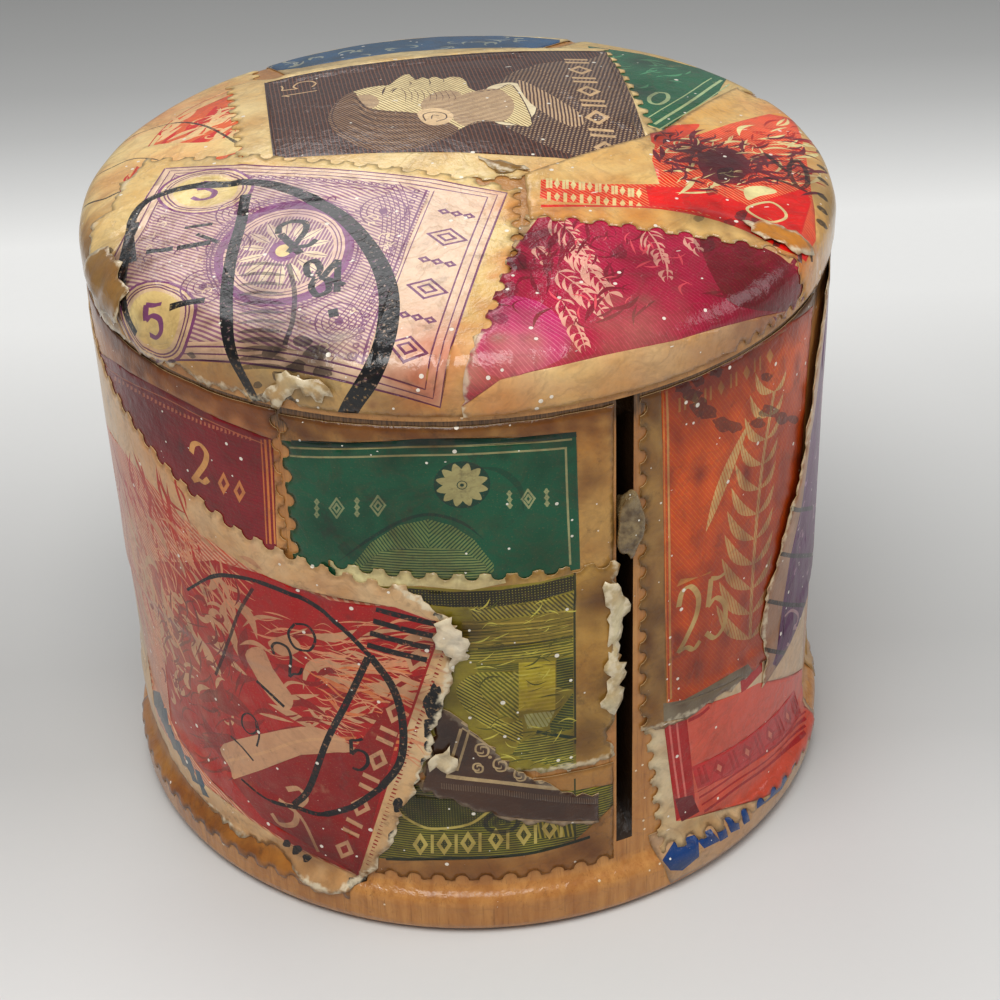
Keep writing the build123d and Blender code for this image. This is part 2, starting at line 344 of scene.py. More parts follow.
def lid_point(uv, h):
    """Way out from the lid's crown, measured along its skin, to a place in space."""
    rho = np.hypot(uv[:, 0], uv[:, 1])
    phi = np.arctan2(uv[:, 1], uv[:, 0])
    t = rho / CAP_R
    a = np.minimum(FIL_T + (rho - RHO_1) / LID_ROUND, math.pi / 2)
    r = np.where(rho < RHO_1, (CAP_R + h) * np.sin(t), FIL_R + (LID_ROUND + h) * np.sin(a))
    z = np.where(rho < RHO_1, CAP_Z + (CAP_R + h) * np.cos(t), FIL_Z + (LID_ROUND + h) * np.cos(a))
    down = rho > RHO_2
    r = np.where(down, LID_R + h, r)
    z = np.where(down, FIL_Z - (rho - RHO_2), z)
    return np.stack([r * np.cos(phi), r * np.sin(phi), z], 1)


def plan_to_skin(x, y):
    """A point of the lid seen from above, as a way out along its skin."""
    r, phi = math.hypot(x, y), math.atan2(y, x)
    if r < CAP_R * math.sin(FIL_T):
        rho = CAP_R * math.asin(r / CAP_R)
    elif r < LID_R:
        rho = RHO_1 + LID_ROUND * (math.asin(min(1, (r - FIL_R) / LID_ROUND)) - FIL_T)
    else:
        rho = RHO_3
    return rho * math.cos(phi), rho * math.sin(phi)


# Flat shapes


def inside(poly, pts):
    """Which points lie in a closed outline."""
    poly = np.asarray(poly, float)
    hit = np.zeros(len(pts), bool)
    lo, hi = poly.min(0), poly.max(0)
    near = np.where(np.all((pts >= lo) & (pts <= hi), 1))[0]
    if len(near) == 0:
        return hit
    p = pts[near]
    a, b = poly, np.roll(poly, -1, 0)
    c = np.zeros(len(p), bool)
    for (x0, y0), (x1, y1) in zip(a, b):
        if y0 == y1:
            continue
        cross = (y0 > p[:, 1]) != (y1 > p[:, 1])
        c ^= cross & (p[:, 0] < (x1 - x0) * (p[:, 1] - y0) / (y1 - y0) + x0)
    hit[near] = c
    return hit


def line_distance(path, pts, closed=False):
    """Distance from points to a line of straight runs."""
    path = np.asarray(path, float)
    ends = np.roll(path, -1, 0) if closed else path[1:]
    starts = path if closed else path[:-1]
    best = np.full(len(pts), 1e9)
    for a, b in zip(starts, ends):
        d = b - a
        t = np.clip(((pts - a) @ d) / max(d @ d, 1e-12), 0, 1)
        best = np.minimum(best, np.hypot(*(pts - a - t[:, None] * d).T))
    return best


def signed(poly, pts):
    d = line_distance(poly, pts, True)
    return np.where(inside(poly, pts), d, -d)


def smooth(x, a, b):
    t = np.clip((x - a) / (b - a), 0, 1)
    return t * t * (3 - 2 * t)


def wobble(pts, size, seed):
    """Soft lumps between -1 and 1 over the plane."""
    g = np.random.default_rng(seed)
    total = np.zeros(len(pts))
    for _ in range(6):
        k = g.normal(size=2)
        k *= 2 * math.pi / (size * g.uniform(0.7, 1.6) * np.hypot(*k))
        total += np.sin(pts @ k + g.uniform(0, 6.28))
    return total / 3.5


# Paper edges


def run(a, b, kind, g):
    """One side of a stamp, from a up to but not including b."""
    a, b = np.asarray(a, float), np.asarray(b, float)
    length = np.hypot(*(b - a))
    if length < 1e-6:
        return [a]
    along = (b - a) / length
    out = np.array([along[1], -along[0]])
    if kind == "perf":
        count = max(1, round(length / PITCH))
        pitch = length / count
        pts = []
        for i in range(count):
            s = (i + 0.5) * pitch
            left, right = s - HOLE_R, s + HOLE_R
            tip = g.uniform(-0.05, 0.1)
            pts.append(a + along * (left - pitch * 0.14) + out * tip)
            for k in range(7):
                t = math.pi * k / 6
                r = HOLE_R + g.uniform(-0.02, 0.02)
                pts.append(a + along * (s - r * math.cos(t)) - out * r * math.sin(t))
            pts.append(a + along * (right + pitch * 0.14) + out * g.uniform(-0.05, 0.1))
        return [a] + pts
    step, rough = (0.35, 0.16) if kind == "torn" else (0.6, 0.02)
    count = max(2, int(length / step))
    drift = 0.0
    pts = [a]
    for i in range(1, count):
        drift = drift * 0.72 + g.normal() * rough
        pts.append(a + along * length * i / count + out * drift)
    return pts


def outline_of(corners, kinds, seed):
    """The full ragged outline of a stamp, and its torn sides."""
    g = np.random.default_rng(seed)
    area = sum(x0 * y1 - x1 * y0 for (x0, y0), (x1, y1) in zip(corners, corners[1:] + corners[:1]))
    pts, torn = [], []
    for i, (a, b) in enumerate(zip(corners, corners[1:] + corners[:1])):
        kind = kinds[i] if i < len(kinds) else "cut"
        side = run(a, b, kind, g)
        if area < 0 and kind != "cut":
            line = np.asarray(b, float) - np.asarray(a, float)
            line /= np.hypot(*line)
            across = np.array([line[1], -line[0]])
            side = [p - 2 * across * ((p - np.asarray(a, float)) @ across) for p in side]
        pts += side
        if kind == "torn":
            torn.append(np.array([a, b], float))
    return np.array(pts), torn


# Stamp meshes

placed = {"box": [], "lid": []}


def hex_grid(lo, hi, step):
    rows = []
    dy = step * 0.866
    for j in range(int((hi[1] - lo[1]) / dy) + 2):
        x = np.arange(lo[0] - step, hi[0] + step, step) + (step / 2 if j % 2 else 0)
        rows.append(np.stack([x, np.full(len(x), lo[1] + j * dy)], 1))
    return np.concatenate(rows)


def triangulate(outline, inks, step):
    """Triangles inside an outline, with the edges of every inked shape in them."""
    lo, hi = outline.min(0), outline.max(0)
    grid = hex_grid(lo, hi, step)
    depth = signed(outline, grid)
    pts = [Vector(p) for p in outline]
    edges = [(i, (i + 1) % len(outline)) for i in range(len(outline))]
    for poly, _ in inks:
        box_lo, box_hi = poly.min(0), poly.max(0)
        if np.any(box_hi < lo) or np.any(box_lo > hi):
            continue
        base = len(pts)
        pts += [Vector(p) for p in poly]
        edges += [(base + i, base + (i + 1) % len(poly)) for i in range(len(poly))]
    pts += [Vector(p) for p in grid[depth > step * 0.45]]
    verts, _, faces, *_ = delaunay_2d_cdt(pts, edges, [], 0, 1e-5, False)
    co = np.array([(v.x, v.y) for v in verts])
    tri = np.array(faces)
    mid = co[tri].mean(1)
    e1, e2 = co[tri[:, 1]] - co[tri[:, 0]], co[tri[:, 2]] - co[tri[:, 0]]
    area = e1[:, 0] * e2[:, 1] - e1[:, 1] * e2[:, 0]
    keep = inside(outline, mid) & (np.abs(area) > 1e-9)
    tri, area = tri[keep], area[keep]
    tri[area < 0] = tri[area < 0][:, ::-1]
    used, back = np.unique(tri, return_inverse=True)
    return co[used], back.reshape(tri.shape)


def lumps(body, uv):
    """Slight swelling of the wood and glue that all layers share."""
    return 0.03 + 0.03 * wobble(uv, 7.0, 5 if body == "box" else 6)


def rest_height(body, uv, layer):
    """How far off the wood the papers beneath carry the next one."""
    h = np.full(len(uv), GLUE)
    for other in placed[body]:
        if other["layer"] < layer:
            near = signed(other["corners"], uv)
            h += LAYER * smooth(near, -0.75, 0.02)
    return h


def add_object(name, data):
    obj = bpy.data.objects.new(name, data)
    bpy.context.collection.objects.link(obj)
    return obj


def make_mesh(name, co, faces):
    mesh = bpy.data.meshes.new(name)
    mesh.vertices.add(len(co))
    mesh.vertices.foreach_set("co", np.asarray(co, np.float32).ravel())
    faces = np.asarray(faces, np.int32)
    mesh.loops.add(faces.size)
    mesh.loops.foreach_set("vertex_index", faces.ravel())
    mesh.polygons.add(len(faces))
    mesh.polygons.foreach_set("loop_start", np.arange(0, faces.size, faces.shape[1], dtype=np.int32))
    mesh.update(calc_edges=True)
    mesh.validate()
    return mesh


GAINS = {"wall_olive": 1.45, "wall_orange": 1.45, "wall_maroon": 1.1, "lid_portrait": 1.2, "lid_crimson": 1.3,
         "lid_pink": 1.3,
         "wall_moss": 1.45, "wall_red": 0.88, "wall_green": 0.85, "wall_rose": 0.9, "wall_violet": 1.1}


# Where the dirt and the painted shade under the lid come in: heights on the wall, and a way out from the
# lid's crown, each with its colour
UNDER_LID, SOOT_AND_SHADE = (36.6, 38.8), (0.40, 0.27, 0.16)
NEAR_FOOT, DUSTY = (2.0, 7.5), (0.74, 0.56, 0.36)
LID_RIM, HONEY = (24.6, 27.0), (0.72, 0.5, 0.28)


def soiling(spec, uv):
    """Soft stains (a colour to multiply by) and milky places, point by point; the band under the lid is dark
    staining with painted shade, and some milky places are painted sheen.
    """
    tint, haze_and_sheen = np.ones((len(uv), 3)), np.zeros(len(uv))
    rough = wobble(uv, 1.6, spec["seed"] + 5)
    for x, y, r, colour, power in WASHES.get(spec["key"], ()):
        c, rim = np.array(spec["board"].spot(x, y)), np.array(spec["board"].spot(x + r, y))
        w = np.exp(-(np.hypot(*(uv - c).T) / max(np.hypot(*(rim - c)), 0.4)) ** 2 * (1 + 0.5 * rough)) * power
        if colour is None:
            haze_and_sheen = np.maximum(haze_and_sheen, w)
        else:
            tint *= 1 - w[:, None] * (1 - np.array(rgb(*colour)))
    if spec["body"] == "box":
        # Under the lid the wall's stamps darken: dark staining and painted shade from the lid's overhang.
        bands = [(smooth(uv[:, 1] + 0.8 * rough, *UNDER_LID), SOOT_AND_SHADE),
                 (0.7 * (1 - smooth(uv[:, 1] + 1.2 * rough, *NEAR_FOOT)), DUSTY)]
    else:
        bands = [(0.6 * smooth(np.hypot(*uv.T) + 0.7 * rough, *LID_RIM), HONEY)]
    for strength, colour in bands:
        tint *= 1 - strength[:, None] * (1 - np.array(colour))
    return np.clip(tint, 0, 1), np.clip(haze_and_sheen, 0, 1)


def store(mesh, name, kind, domain, rows):
    """Writes an attribute that the paper material reads."""
    field = {"FLOAT": "value", "FLOAT_VECTOR": "vector", "FLOAT_COLOR": "color"}[kind]
    rows = np.ascontiguousarray(rows, np.float32).ravel()
    mesh.attributes.new(name, kind, domain).data.foreach_set(field, rows)


def sheet_faces(tri, count):
    """Printed side, back and edge of a sheet whose two sides have count points each."""
    pairs = np.concatenate([tri[:, [0, 1]], tri[:, [1, 2]], tri[:, [2, 0]]]).tolist()
    keys = {tuple(p) for p in pairs}
    sides = []
    for a, b in pairs:
        if (b, a) not in keys:
            sides += [(b, a, a + count), (b, a + count, b + count)]
    return np.concatenate([tri, tri[:, ::-1] + count, np.array(sides)])


def store_print(mesh, board, mid, count, tops, paper, gain):
    """The ink of every face: two colours, their hatching, and how strongly a cancel covers it."""
    kind, mark = np.zeros(count, int), np.zeros(count, np.float32)
    for poly, k in board.shapes:
        hit = np.where(inside(poly, mid))[0]
        colour, cancel = board.styles[k][0], board.styles[k][7]
        if colour is None and cancel > 0:
            mark[hit] = np.maximum(mark[hit], cancel)
        else:
            kind[hit] = k
    for name, part, power in (("ink_a", 0, 1.25), ("ink_b", 1, 1.2)):
        inks = [(*vivid(rgb(*(style[part] or paper)), power, gain), 1.0) for style in board.styles]
        store(mesh, name, "FLOAT_COLOR", "FACE", np.array(inks, np.float32)[kind])
    store(mesh, "hatch", "FLOAT_VECTOR", "FACE", np.array([style[2:5] for style in board.styles])[kind])
    cross, cover = np.array([(style[5], style[6] if style[0] else 0.0) for style in board.styles])[kind].T
    flags = np.stack([cross, cover, mark], 1)
    flags[tops:, 1:] = 0.0
    store(mesh, "flags", "FLOAT_VECTOR", "FACE", flags)


def make_stamp(spec):
    """A closed, draped sheet of printed paper."""
    body, layer, corners = spec["body"], spec["layer"], spec["corners"]
    outline, torn = outline_of(corners, spec["kinds"], spec["seed"])
    uv, tri = triangulate(outline, spec["board"].shapes, GRID * spec.get("coarse", 1.0))
    edge = line_distance(outline, uv, True)
    swell = 0.08 + 0.92 * smooth(uv[:, 1], 4.0, 9.0) if body == "box" else 1.0
    h = rest_height(body, uv, layer) + lumps(body, uv) * swell
    if spec["lift"] is not None:
        h = h + spec["lift"](uv)
    thick = PAPER * (0.45 + 0.55 * smooth(edge, 0.0, 0.22))
    place = wall_point if body == "box" else lid_point
    count, tops = len(uv), len(tri)
    faces = sheet_faces(tri, count)
    mesh = make_mesh(spec["name"], np.concatenate([place(uv, h + thick), place(uv, h)]) * MM, faces)
    side = np.repeat([0.0, 1.0, 2.0], [tops, tops, len(faces) - 2 * tops])
    store(mesh, "side", "FLOAT", "FACE", side)
    far = np.full(count, 9.0)
    for path in torn:
        far = np.minimum(far, line_distance(path, uv))
    stain_and_shade, haze_and_sheen = soiling(spec, uv)
    for key, value in (("edge", edge), ("torn", far), ("haze_and_sheen", haze_and_sheen)):
        store(mesh, key, "FLOAT", "POINT", np.tile(value, 2))
    store(mesh, "stain_and_shade", "FLOAT_COLOR", "POINT", np.tile(np.column_stack([stain_and_shade, np.ones(count)]), (2, 1)))
    store(mesh, "place", "FLOAT_VECTOR", "POINT", np.tile(np.column_stack([uv, np.zeros(count)]), (2, 1)))
    gain = GAINS.get(spec["key"], 1.0)
    store_print(mesh, spec["board"], uv[tri].mean(1), len(faces), tops, spec["paper"], gain)
    pack_uv(mesh, uv, tops)
    mesh.polygons.foreach_set("use_smooth", side < 1.5)
    obj = add_object(spec["name"], mesh)
    mesh.materials.append(spec["material"])
    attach(obj, body)
    if not spec.get("chip"):
        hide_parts(spec["node"])
    placed[body].append({"layer": layer, "corners": np.asarray(corners, float)})


def pack_uv(mesh, uv, tops):
    """The baking map: the printed side fills the square above a strip for the rest."""
    lo, hi = uv.min(0), uv.max(0)
    span = max(hi[0] - lo[0], (hi[1] - lo[1]) / 0.8)
    flat = (uv - lo) / span * 0.98 + 0.01
    top = np.stack([flat[:, 0], np.minimum(flat[:, 1] + 0.19, 0.995)], 1)
    small = (uv - lo) / span * 0.15 + 0.01
    both = np.concatenate([top, small])
    layer = mesh.uv_layers.new(name="OFBake")
    index = np.zeros(len(mesh.loops), np.int32)
    mesh.loops.foreach_get("vertex_index", index)
    coords = both[index]
    flanks = np.zeros(len(mesh.loops), bool)
    flanks[tops * 6:] = True
    under = np.concatenate([small, small])
    coords[flanks] = under[index[flanks]] + np.array([0.2, 0.0])
    layer.data.foreach_set("uv", coords.astype(np.float32).ravel())


# Where a pixel of the photograph lies

TURN_AXIS = Vector((math.sin(CAM_TURN), -math.cos(CAM_TURN), 0))
EYE = TURN_AXIS * math.cos(CAM_RISE) + Vector((0, 0, math.sin(CAM_RISE)))
RIGHT = (-EYE).cross(Vector((0, 0, 1))).normalized()
UPWARD = RIGHT.cross(-EYE)
RIGHT, UPWARD = (
    RIGHT * math.cos(CAM_ROLL) + UPWARD * math.sin(CAM_ROLL),
    UPWARD * math.cos(CAM_ROLL) - RIGHT * math.sin(CAM_ROLL),
)
CAM_PLACE = EYE * CAM_FAR + Vector((0, 0, CAM_AIM))
REACH = np.arange(100.0, 190.0, 0.03)
PRINT_H = 0.3


def sight(px, py):
    """Points along the line of sight through a pixel."""
    right, down = (px - CAM_CENTRE_PX[0]) / CAM_FOCAL_PX, (py - CAM_CENTRE_PX[1]) / CAM_FOCAL_PX
    d = -EYE + RIGHT * right - UPWARD * down
    d = np.array(d.normalized())
    return np.array(CAM_PLACE) + REACH[:, None] * d


def on_wall(px, py):
    """Way round and height of the wall seen at a pixel."""
    p = sight(px, py)
    r = np.hypot(p[:, 0], p[:, 1]) - wall_profile(np.clip(p[:, 2], 0, 50)) - PRINT_H
    hit = np.where((r < 0) & (p[:, 2] < BODY_TOP + 1.5))[0]
    k = hit[0] if len(hit) else int(np.abs(r + 1000 * (p[:, 2] > BODY_TOP + 1.5)).argmin())
    q = p[k]
    return math.atan2(q[0], -q[1]) * WALL_R, float(q[2])


def on_lid(px, py):
    """Way out from the crown, along the skin of the lid, at a pixel."""
    p = sight(px, py)
    r, z = np.hypot(p[:, 0], p[:, 1]), p[:, 2]
    cap = np.hypot(r, z - CAP_Z) - CAP_R - PRINT_H
    ring = np.where(z > FIL_Z, np.hypot(r - FIL_R, z - FIL_Z) - LID_ROUND, r - LID_R) - PRINT_H
    seam = np.arctan2(r, z - CAP_Z) < FIL_T
    gap = np.where(seam, cap, ring)
    gap = np.where(z < BODY_TOP - 1, 99.0, gap)
    hit = np.where(gap < 0)[0]
    k = hit[0] if len(hit) else int(gap.argmin())
    q = p[k]
    rr, zz = math.hypot(q[0], q[1]), q[2]
    t = math.atan2(rr, zz - CAP_Z)
    if t < FIL_T:
        rho = CAP_R * t
    elif zz > FIL_Z:
        rho = RHO_1 + LID_ROUND * (math.atan2(rr - FIL_R, zz - FIL_Z) - FIL_T)
    else:
        rho = RHO_2 + FIL_Z - zz
    a = math.atan2(q[1], q[0])
    return rho * math.cos(a), rho * math.sin(a)


# Drawing


def curve(pts, n=6, closed=False):
    """A smooth line through points."""
    p = np.asarray(pts, float)
    if closed:
        q = np.concatenate([p[-1:], p, p[:2]])
    else:
        q = np.concatenate([2 * p[:1] - p[1:2], p, 2 * p[-1:] - p[-2:-1]])
    out = []
    for a, b, c, d in zip(q, q[1:], q[2:], q[3:]):
        for i in range(n):
            t = i / n
            square, cube = 2 * a - 5 * b + 4 * c - d, 3 * b - a - 3 * c + d
            out.append(0.5 * (2 * b + (c - a) * t + square * t**2 + cube * t**3))
    if not closed:
        out.append(p[-1])
    return np.array(out)


def stroke(path, width, closed=False, taper=0.0):
    """The outline of a line drawn with a pen of some width."""
    p = np.asarray(path, float)
    if closed:
        d = np.roll(p, -1, 0) - np.roll(p, 1, 0)
    else:
        d = np.gradient(p, axis=0)
    d /= np.maximum(np.hypot(*d.T), 1e-9)[:, None]
    n = np.stack([-d[:, 1], d[:, 0]], 1)
    w = np.full(len(p), width / 2) if np.isscalar(width) else np.asarray(width) / 2
    if taper:
        s = np.linspace(0, 1, len(p))
        w = w * np.clip(np.minimum(s, 1 - s) / taper, 0.15, 1)
    a, b = p + n * w[:, None], p - n * w[:, None]
    if closed:
        return np.concatenate([a, a[:1], b[:1], b[:0:-1], b[:1]])
    return np.concatenate([a, b[::-1]])


def disc(c, r, n=20, squash=1.0):
    t = np.linspace(0, 2 * math.pi, n, endpoint=False)
    return np.stack([c[0] + r * np.cos(t), c[1] + r * squash * np.sin(t)], 1)


def petal(c, a, r0, r1, half):
    """A rounded petal pointing out from a centre."""
    t = np.linspace(0, 1, 7)
    w = half * np.sin(math.pi * np.clip(t * 0.86 + 0.1, 0, 1)) ** 0.8
    r = r0 + (r1 - r0) * t
    left = [(c[0] + q * math.cos(a) - s * math.sin(a), c[1] + q * math.sin(a) + s * math.cos(a))
            for q, s in zip(r, w)]
    right = [(c[0] + q * math.cos(a) + s * math.sin(a), c[1] + q * math.sin(a) - s * math.cos(a))
             for q, s in zip(r, w)]
    return np.array(left + right[::-1])


def leaf(a, b, half, bend=0.0):
    """A pointed leaf from a to b."""
    a, b = np.asarray(a, float), np.asarray(b, float)
    d = b - a
    side = np.array([-d[1], d[0]]) / max(np.hypot(*d), 1e-9)
    t = np.linspace(0, 1, 9)[:, None]
    spine = a + d * t + side * bend * np.sin(math.pi * t)
    w = half * np.sin(math.pi * t) ** 0.9
    return np.concatenate([spine + side * w, (spine - side * w)[::-1]])


BARE_PAPER = (None, None, 0.0, 0.3, 2.0, 0.0, 0.0, 0.0)


class Board:
    """Artwork for one stamp: inked shapes with their way of printing."""

    def __init__(self, spot):
        self.spot, self.shapes, self.styles, self.index = spot, [], [BARE_PAPER], {}

    def style(self, a, b=None, turn=0.0, pitch=0.3, duty=2.0, cross=0.0, cover=1.0, mark=0.0):
        key = (a, b, turn, pitch, duty, cross, cover, mark)
        if key not in self.index:
            self.index[key] = len(self.styles)
            self.styles.append(key)
        return self.index[key]

    def px(self, pts):
        return np.array([self.spot(*p) for p in pts])

    def area(self, pts, style, smooth_by=0):
        path = self.px(pts)
        if smooth_by:
            path = curve(path, smooth_by, True)
        self.shapes.append((path, style))
        return path

    def line(self, pts, width, style, bend=5, taper=0.0):
        path = self.px(pts)
        if bend:
            path = curve(path, bend)
        else:
            path = np.concatenate([np.linspace(a, b, 5)[:-1] for a, b in zip(path, path[1:])] + [path[-1:]])
        self.shapes.append((stroke(path, width, taper=taper), style))

    def add(self, poly, style):
        self.shapes.append((np.asarray(poly, float), style))

    def quad(self, corners):
        """Maps a unit square onto four pixels: left top, right top, right bottom, left bottom."""
        a, b, c, d = self.px(corners)

        def at(x, y):
            return (a * (1 - x) + b * x) * (1 - y) + (d * (1 - x) + c * x) * y
        return at


def mapped(at, pts):
    return np.array([at(x, y) for x, y in pts])


NUMERALS = {
    "0": [[(0.5, 0), (0.12, 0.2), (0.02, 0.5), (0.12, 0.8), (0.5, 1), (0.88, 0.8), (0.98, 0.5), (0.88, 0.2),
           (0.5, 0)]],
    "1": [[(0.2, 0.2), (0.42, 0.12), (0.58, 0.0)], [(0.56, 0.0), (0.54, 0.5), (0.54, 1.0)]],
    "2": [[(0.06, 0.26), (0.2, 0.04), (0.55, 0.0), (0.88, 0.2), (0.8, 0.48), (0.4, 0.78), (0.06, 0.99)],
          [(0.06, 0.98), (0.4, 0.94), (0.7, 1.0), (0.98, 0.9)]],
    "3": [[(0.08, 0.12), (0.45, 0.0), (0.86, 0.16), (0.76, 0.4), (0.42, 0.48)],
          [(0.42, 0.48), (0.84, 0.56), (0.92, 0.82), (0.5, 1.0), (0.06, 0.88)]],
    "4": [[(0.66, 1.0), (0.66, 0.5), (0.66, 0.0)], [(0.66, 0.0), (0.3, 0.4), (0.02, 0.7)],
          [(0.02, 0.7), (0.5, 0.7), (0.98, 0.7)]],
    "5": [[(0.92, 0.02), (0.6, 0.05), (0.24, 0.02)], [(0.26, 0.02), (0.2, 0.25), (0.14, 0.46)],
          [(0.14, 0.46), (0.5, 0.36), (0.9, 0.52), (0.88, 0.84), (0.45, 1.0), (0.06, 0.88)]],
    "7": [[(0.04, 0.04), (0.5, 0.06), (0.96, 0.02)], [(0.94, 0.03), (0.6, 0.5), (0.4, 1.0)]],
    "8": [[(0.5, 0.46), (0.14, 0.3), (0.2, 0.06), (0.5, 0.0), (0.8, 0.06), (0.86, 0.3), (0.5, 0.46)],
          [(0.5, 0.46), (0.06, 0.66), (0.14, 0.94), (0.5, 1.0), (0.86, 0.94), (0.94, 0.66), (0.5, 0.46)]],
    "9": [[(0.9, 0.32), (0.7, 0.58), (0.3, 0.58), (0.08, 0.3), (0.3, 0.03), (0.7, 0.03), (0.92, 0.3),
           (0.8, 0.7), (0.4, 1.0)]],
}


def numeral(board, digit, at, width, style, swell=0.45):
    """A figure drawn in the unit square of at, thicker where the pen goes down."""
    for run_ in NUMERALS[digit]:
        path = curve(mapped(at, run_), 6)
        d = np.gradient(path, axis=0)
        d /= np.maximum(np.hypot(*d.T), 1e-9)[:, None]
        up = at(0.5, 1.0) - at(0.5, 0.0)
        up = up / max(np.hypot(*up), 1e-9)
        w = width * (1 - swell + swell * np.abs(d @ up))
        board.add(stroke(path, w), style)


def rosette(board, c, r, count, style, dark):
    """Rounded petals round a ringed centre."""
    for i in range(count):
        a = 2 * math.pi * (i + 0.5) / count
        board.add(petal(c, a, r * 0.2, r, r * math.pi / count * 0.78), style)
    board.add(disc(c, r * 0.17, 12), style)
    board.add(disc(c, r * 0.08, 8), dark)


def beads(board, path, size, gap, style, hole=None):
    """Small rings along a line."""
    path = np.asarray(path, float)
    seg = np.hypot(*np.diff(path, axis=0).T)
    total = np.concatenate([[0], np.cumsum(seg)])
    for s in np.arange(gap / 2, total[-1], gap):
        c = np.array([np.interp(s, total, path[:, 0]), np.interp(s, total, path[:, 1])])
        board.add(disc(c, size, 10), style)
        if hole is not None:
            board.add(disc(c, size * 0.5, 8), hole)


def frets(board, at, count, style, weight):
    """A band of nested lozenges and columns of small ones: plain ornament that spells nothing."""
    def lozenge(y, q):
        return [(0.5, y - q), (0.5 + q, y), (0.5, y + q), (0.5 - q, y), (0.5, y - q)]
    nested = [lozenge(0.5, q) for q in (0.45, 0.2)]
    column = [lozenge(y, 0.11) for y in (0.2, 0.5, 0.8)]
    forms = [nested, column]
    for i in range(count):
        for run_ in forms[(i + 1) % len(forms)]:
            pts = [((i + 0.12 + 0.76 * x) / count, y) for x, y in run_]
            path = mapped(at, pts)
            for a, b in zip(path, path[1:]):
                d = (b - a) / max(np.hypot(*(b - a)), 1e-9) * weight * 0.5
                board.add(stroke(np.array([a - d, b + d]), weight), style)


def postmark(board, pts, width, strength=1.0, bend=6, taper=0.0):
    board.line(pts, width, board.style(None, mark=strength), bend, taper)


def blots(board, g, spots, style, tall=(0.5, 1.2), wide=(0.5, 1.2), step=0.7):
    """Ragged splashes of cancelling ink, each (x, y, size) in pixels."""
    for x, y, r in spots:
        board.area([(x + r * g.uniform(*wide) * math.cos(t), y + r * g.uniform(*tall) * math.sin(t))
                    for t in np.arange(0, 6.2, step)], style, 2)


def scrolls(board, area, count, style, width, seed, length=3.2):
    """Curling strokes scattered in a region given by its corner pixels."""
    g = np.random.default_rng(seed)
    at = board.quad(area)
    for _ in range(count):
        x, y = g.uniform(0.03, 0.97, 2)
        c = at(x, y)
        a, spin = g.uniform(0, 6.28), g.choice([-1, 1]) * g.uniform(0.35, 1.1)
        step = g.uniform(0.5, 1.0) * length / 10
        path = [c]
        for k in range(10):
            a += spin * (0.12 + 0.07 * k)
            path.append(path[-1] + step * (1 - 0.06 * k) * np.array([math.cos(a), math.sin(a)]))
        w = width * g.uniform(0.5, 1.3) * np.sin(np.linspace(0.15, 3.0, 31))
        board.add(stroke(curve(path, 3), np.maximum(w, width * 0.12)), style)


def flames(board, area, count, style, seed, size=(1.6, 4.0), lean=0.9, spread=0.5, fat=0.16):
    """Tapering brush strokes that lean one way."""
    g = np.random.default_rng(seed)
    at = board.quad(area)
    for _ in range(count):
        c = at(*g.uniform(0.02, 0.98, 2))
        a = lean + g.normal() * spread
        n = g.uniform(*size)
        board.add(leaf(c, c + n * np.array([math.cos(a), math.sin(a)]), n * fat * g.uniform(0.4, 1),
                       g.normal() * n * 0.14), style)


# The stamps
# Each row is name, layer, the kind of each side, and corners in millimetres: way round from the slot
# and height on the wall, or x and y seen from above on the lid.

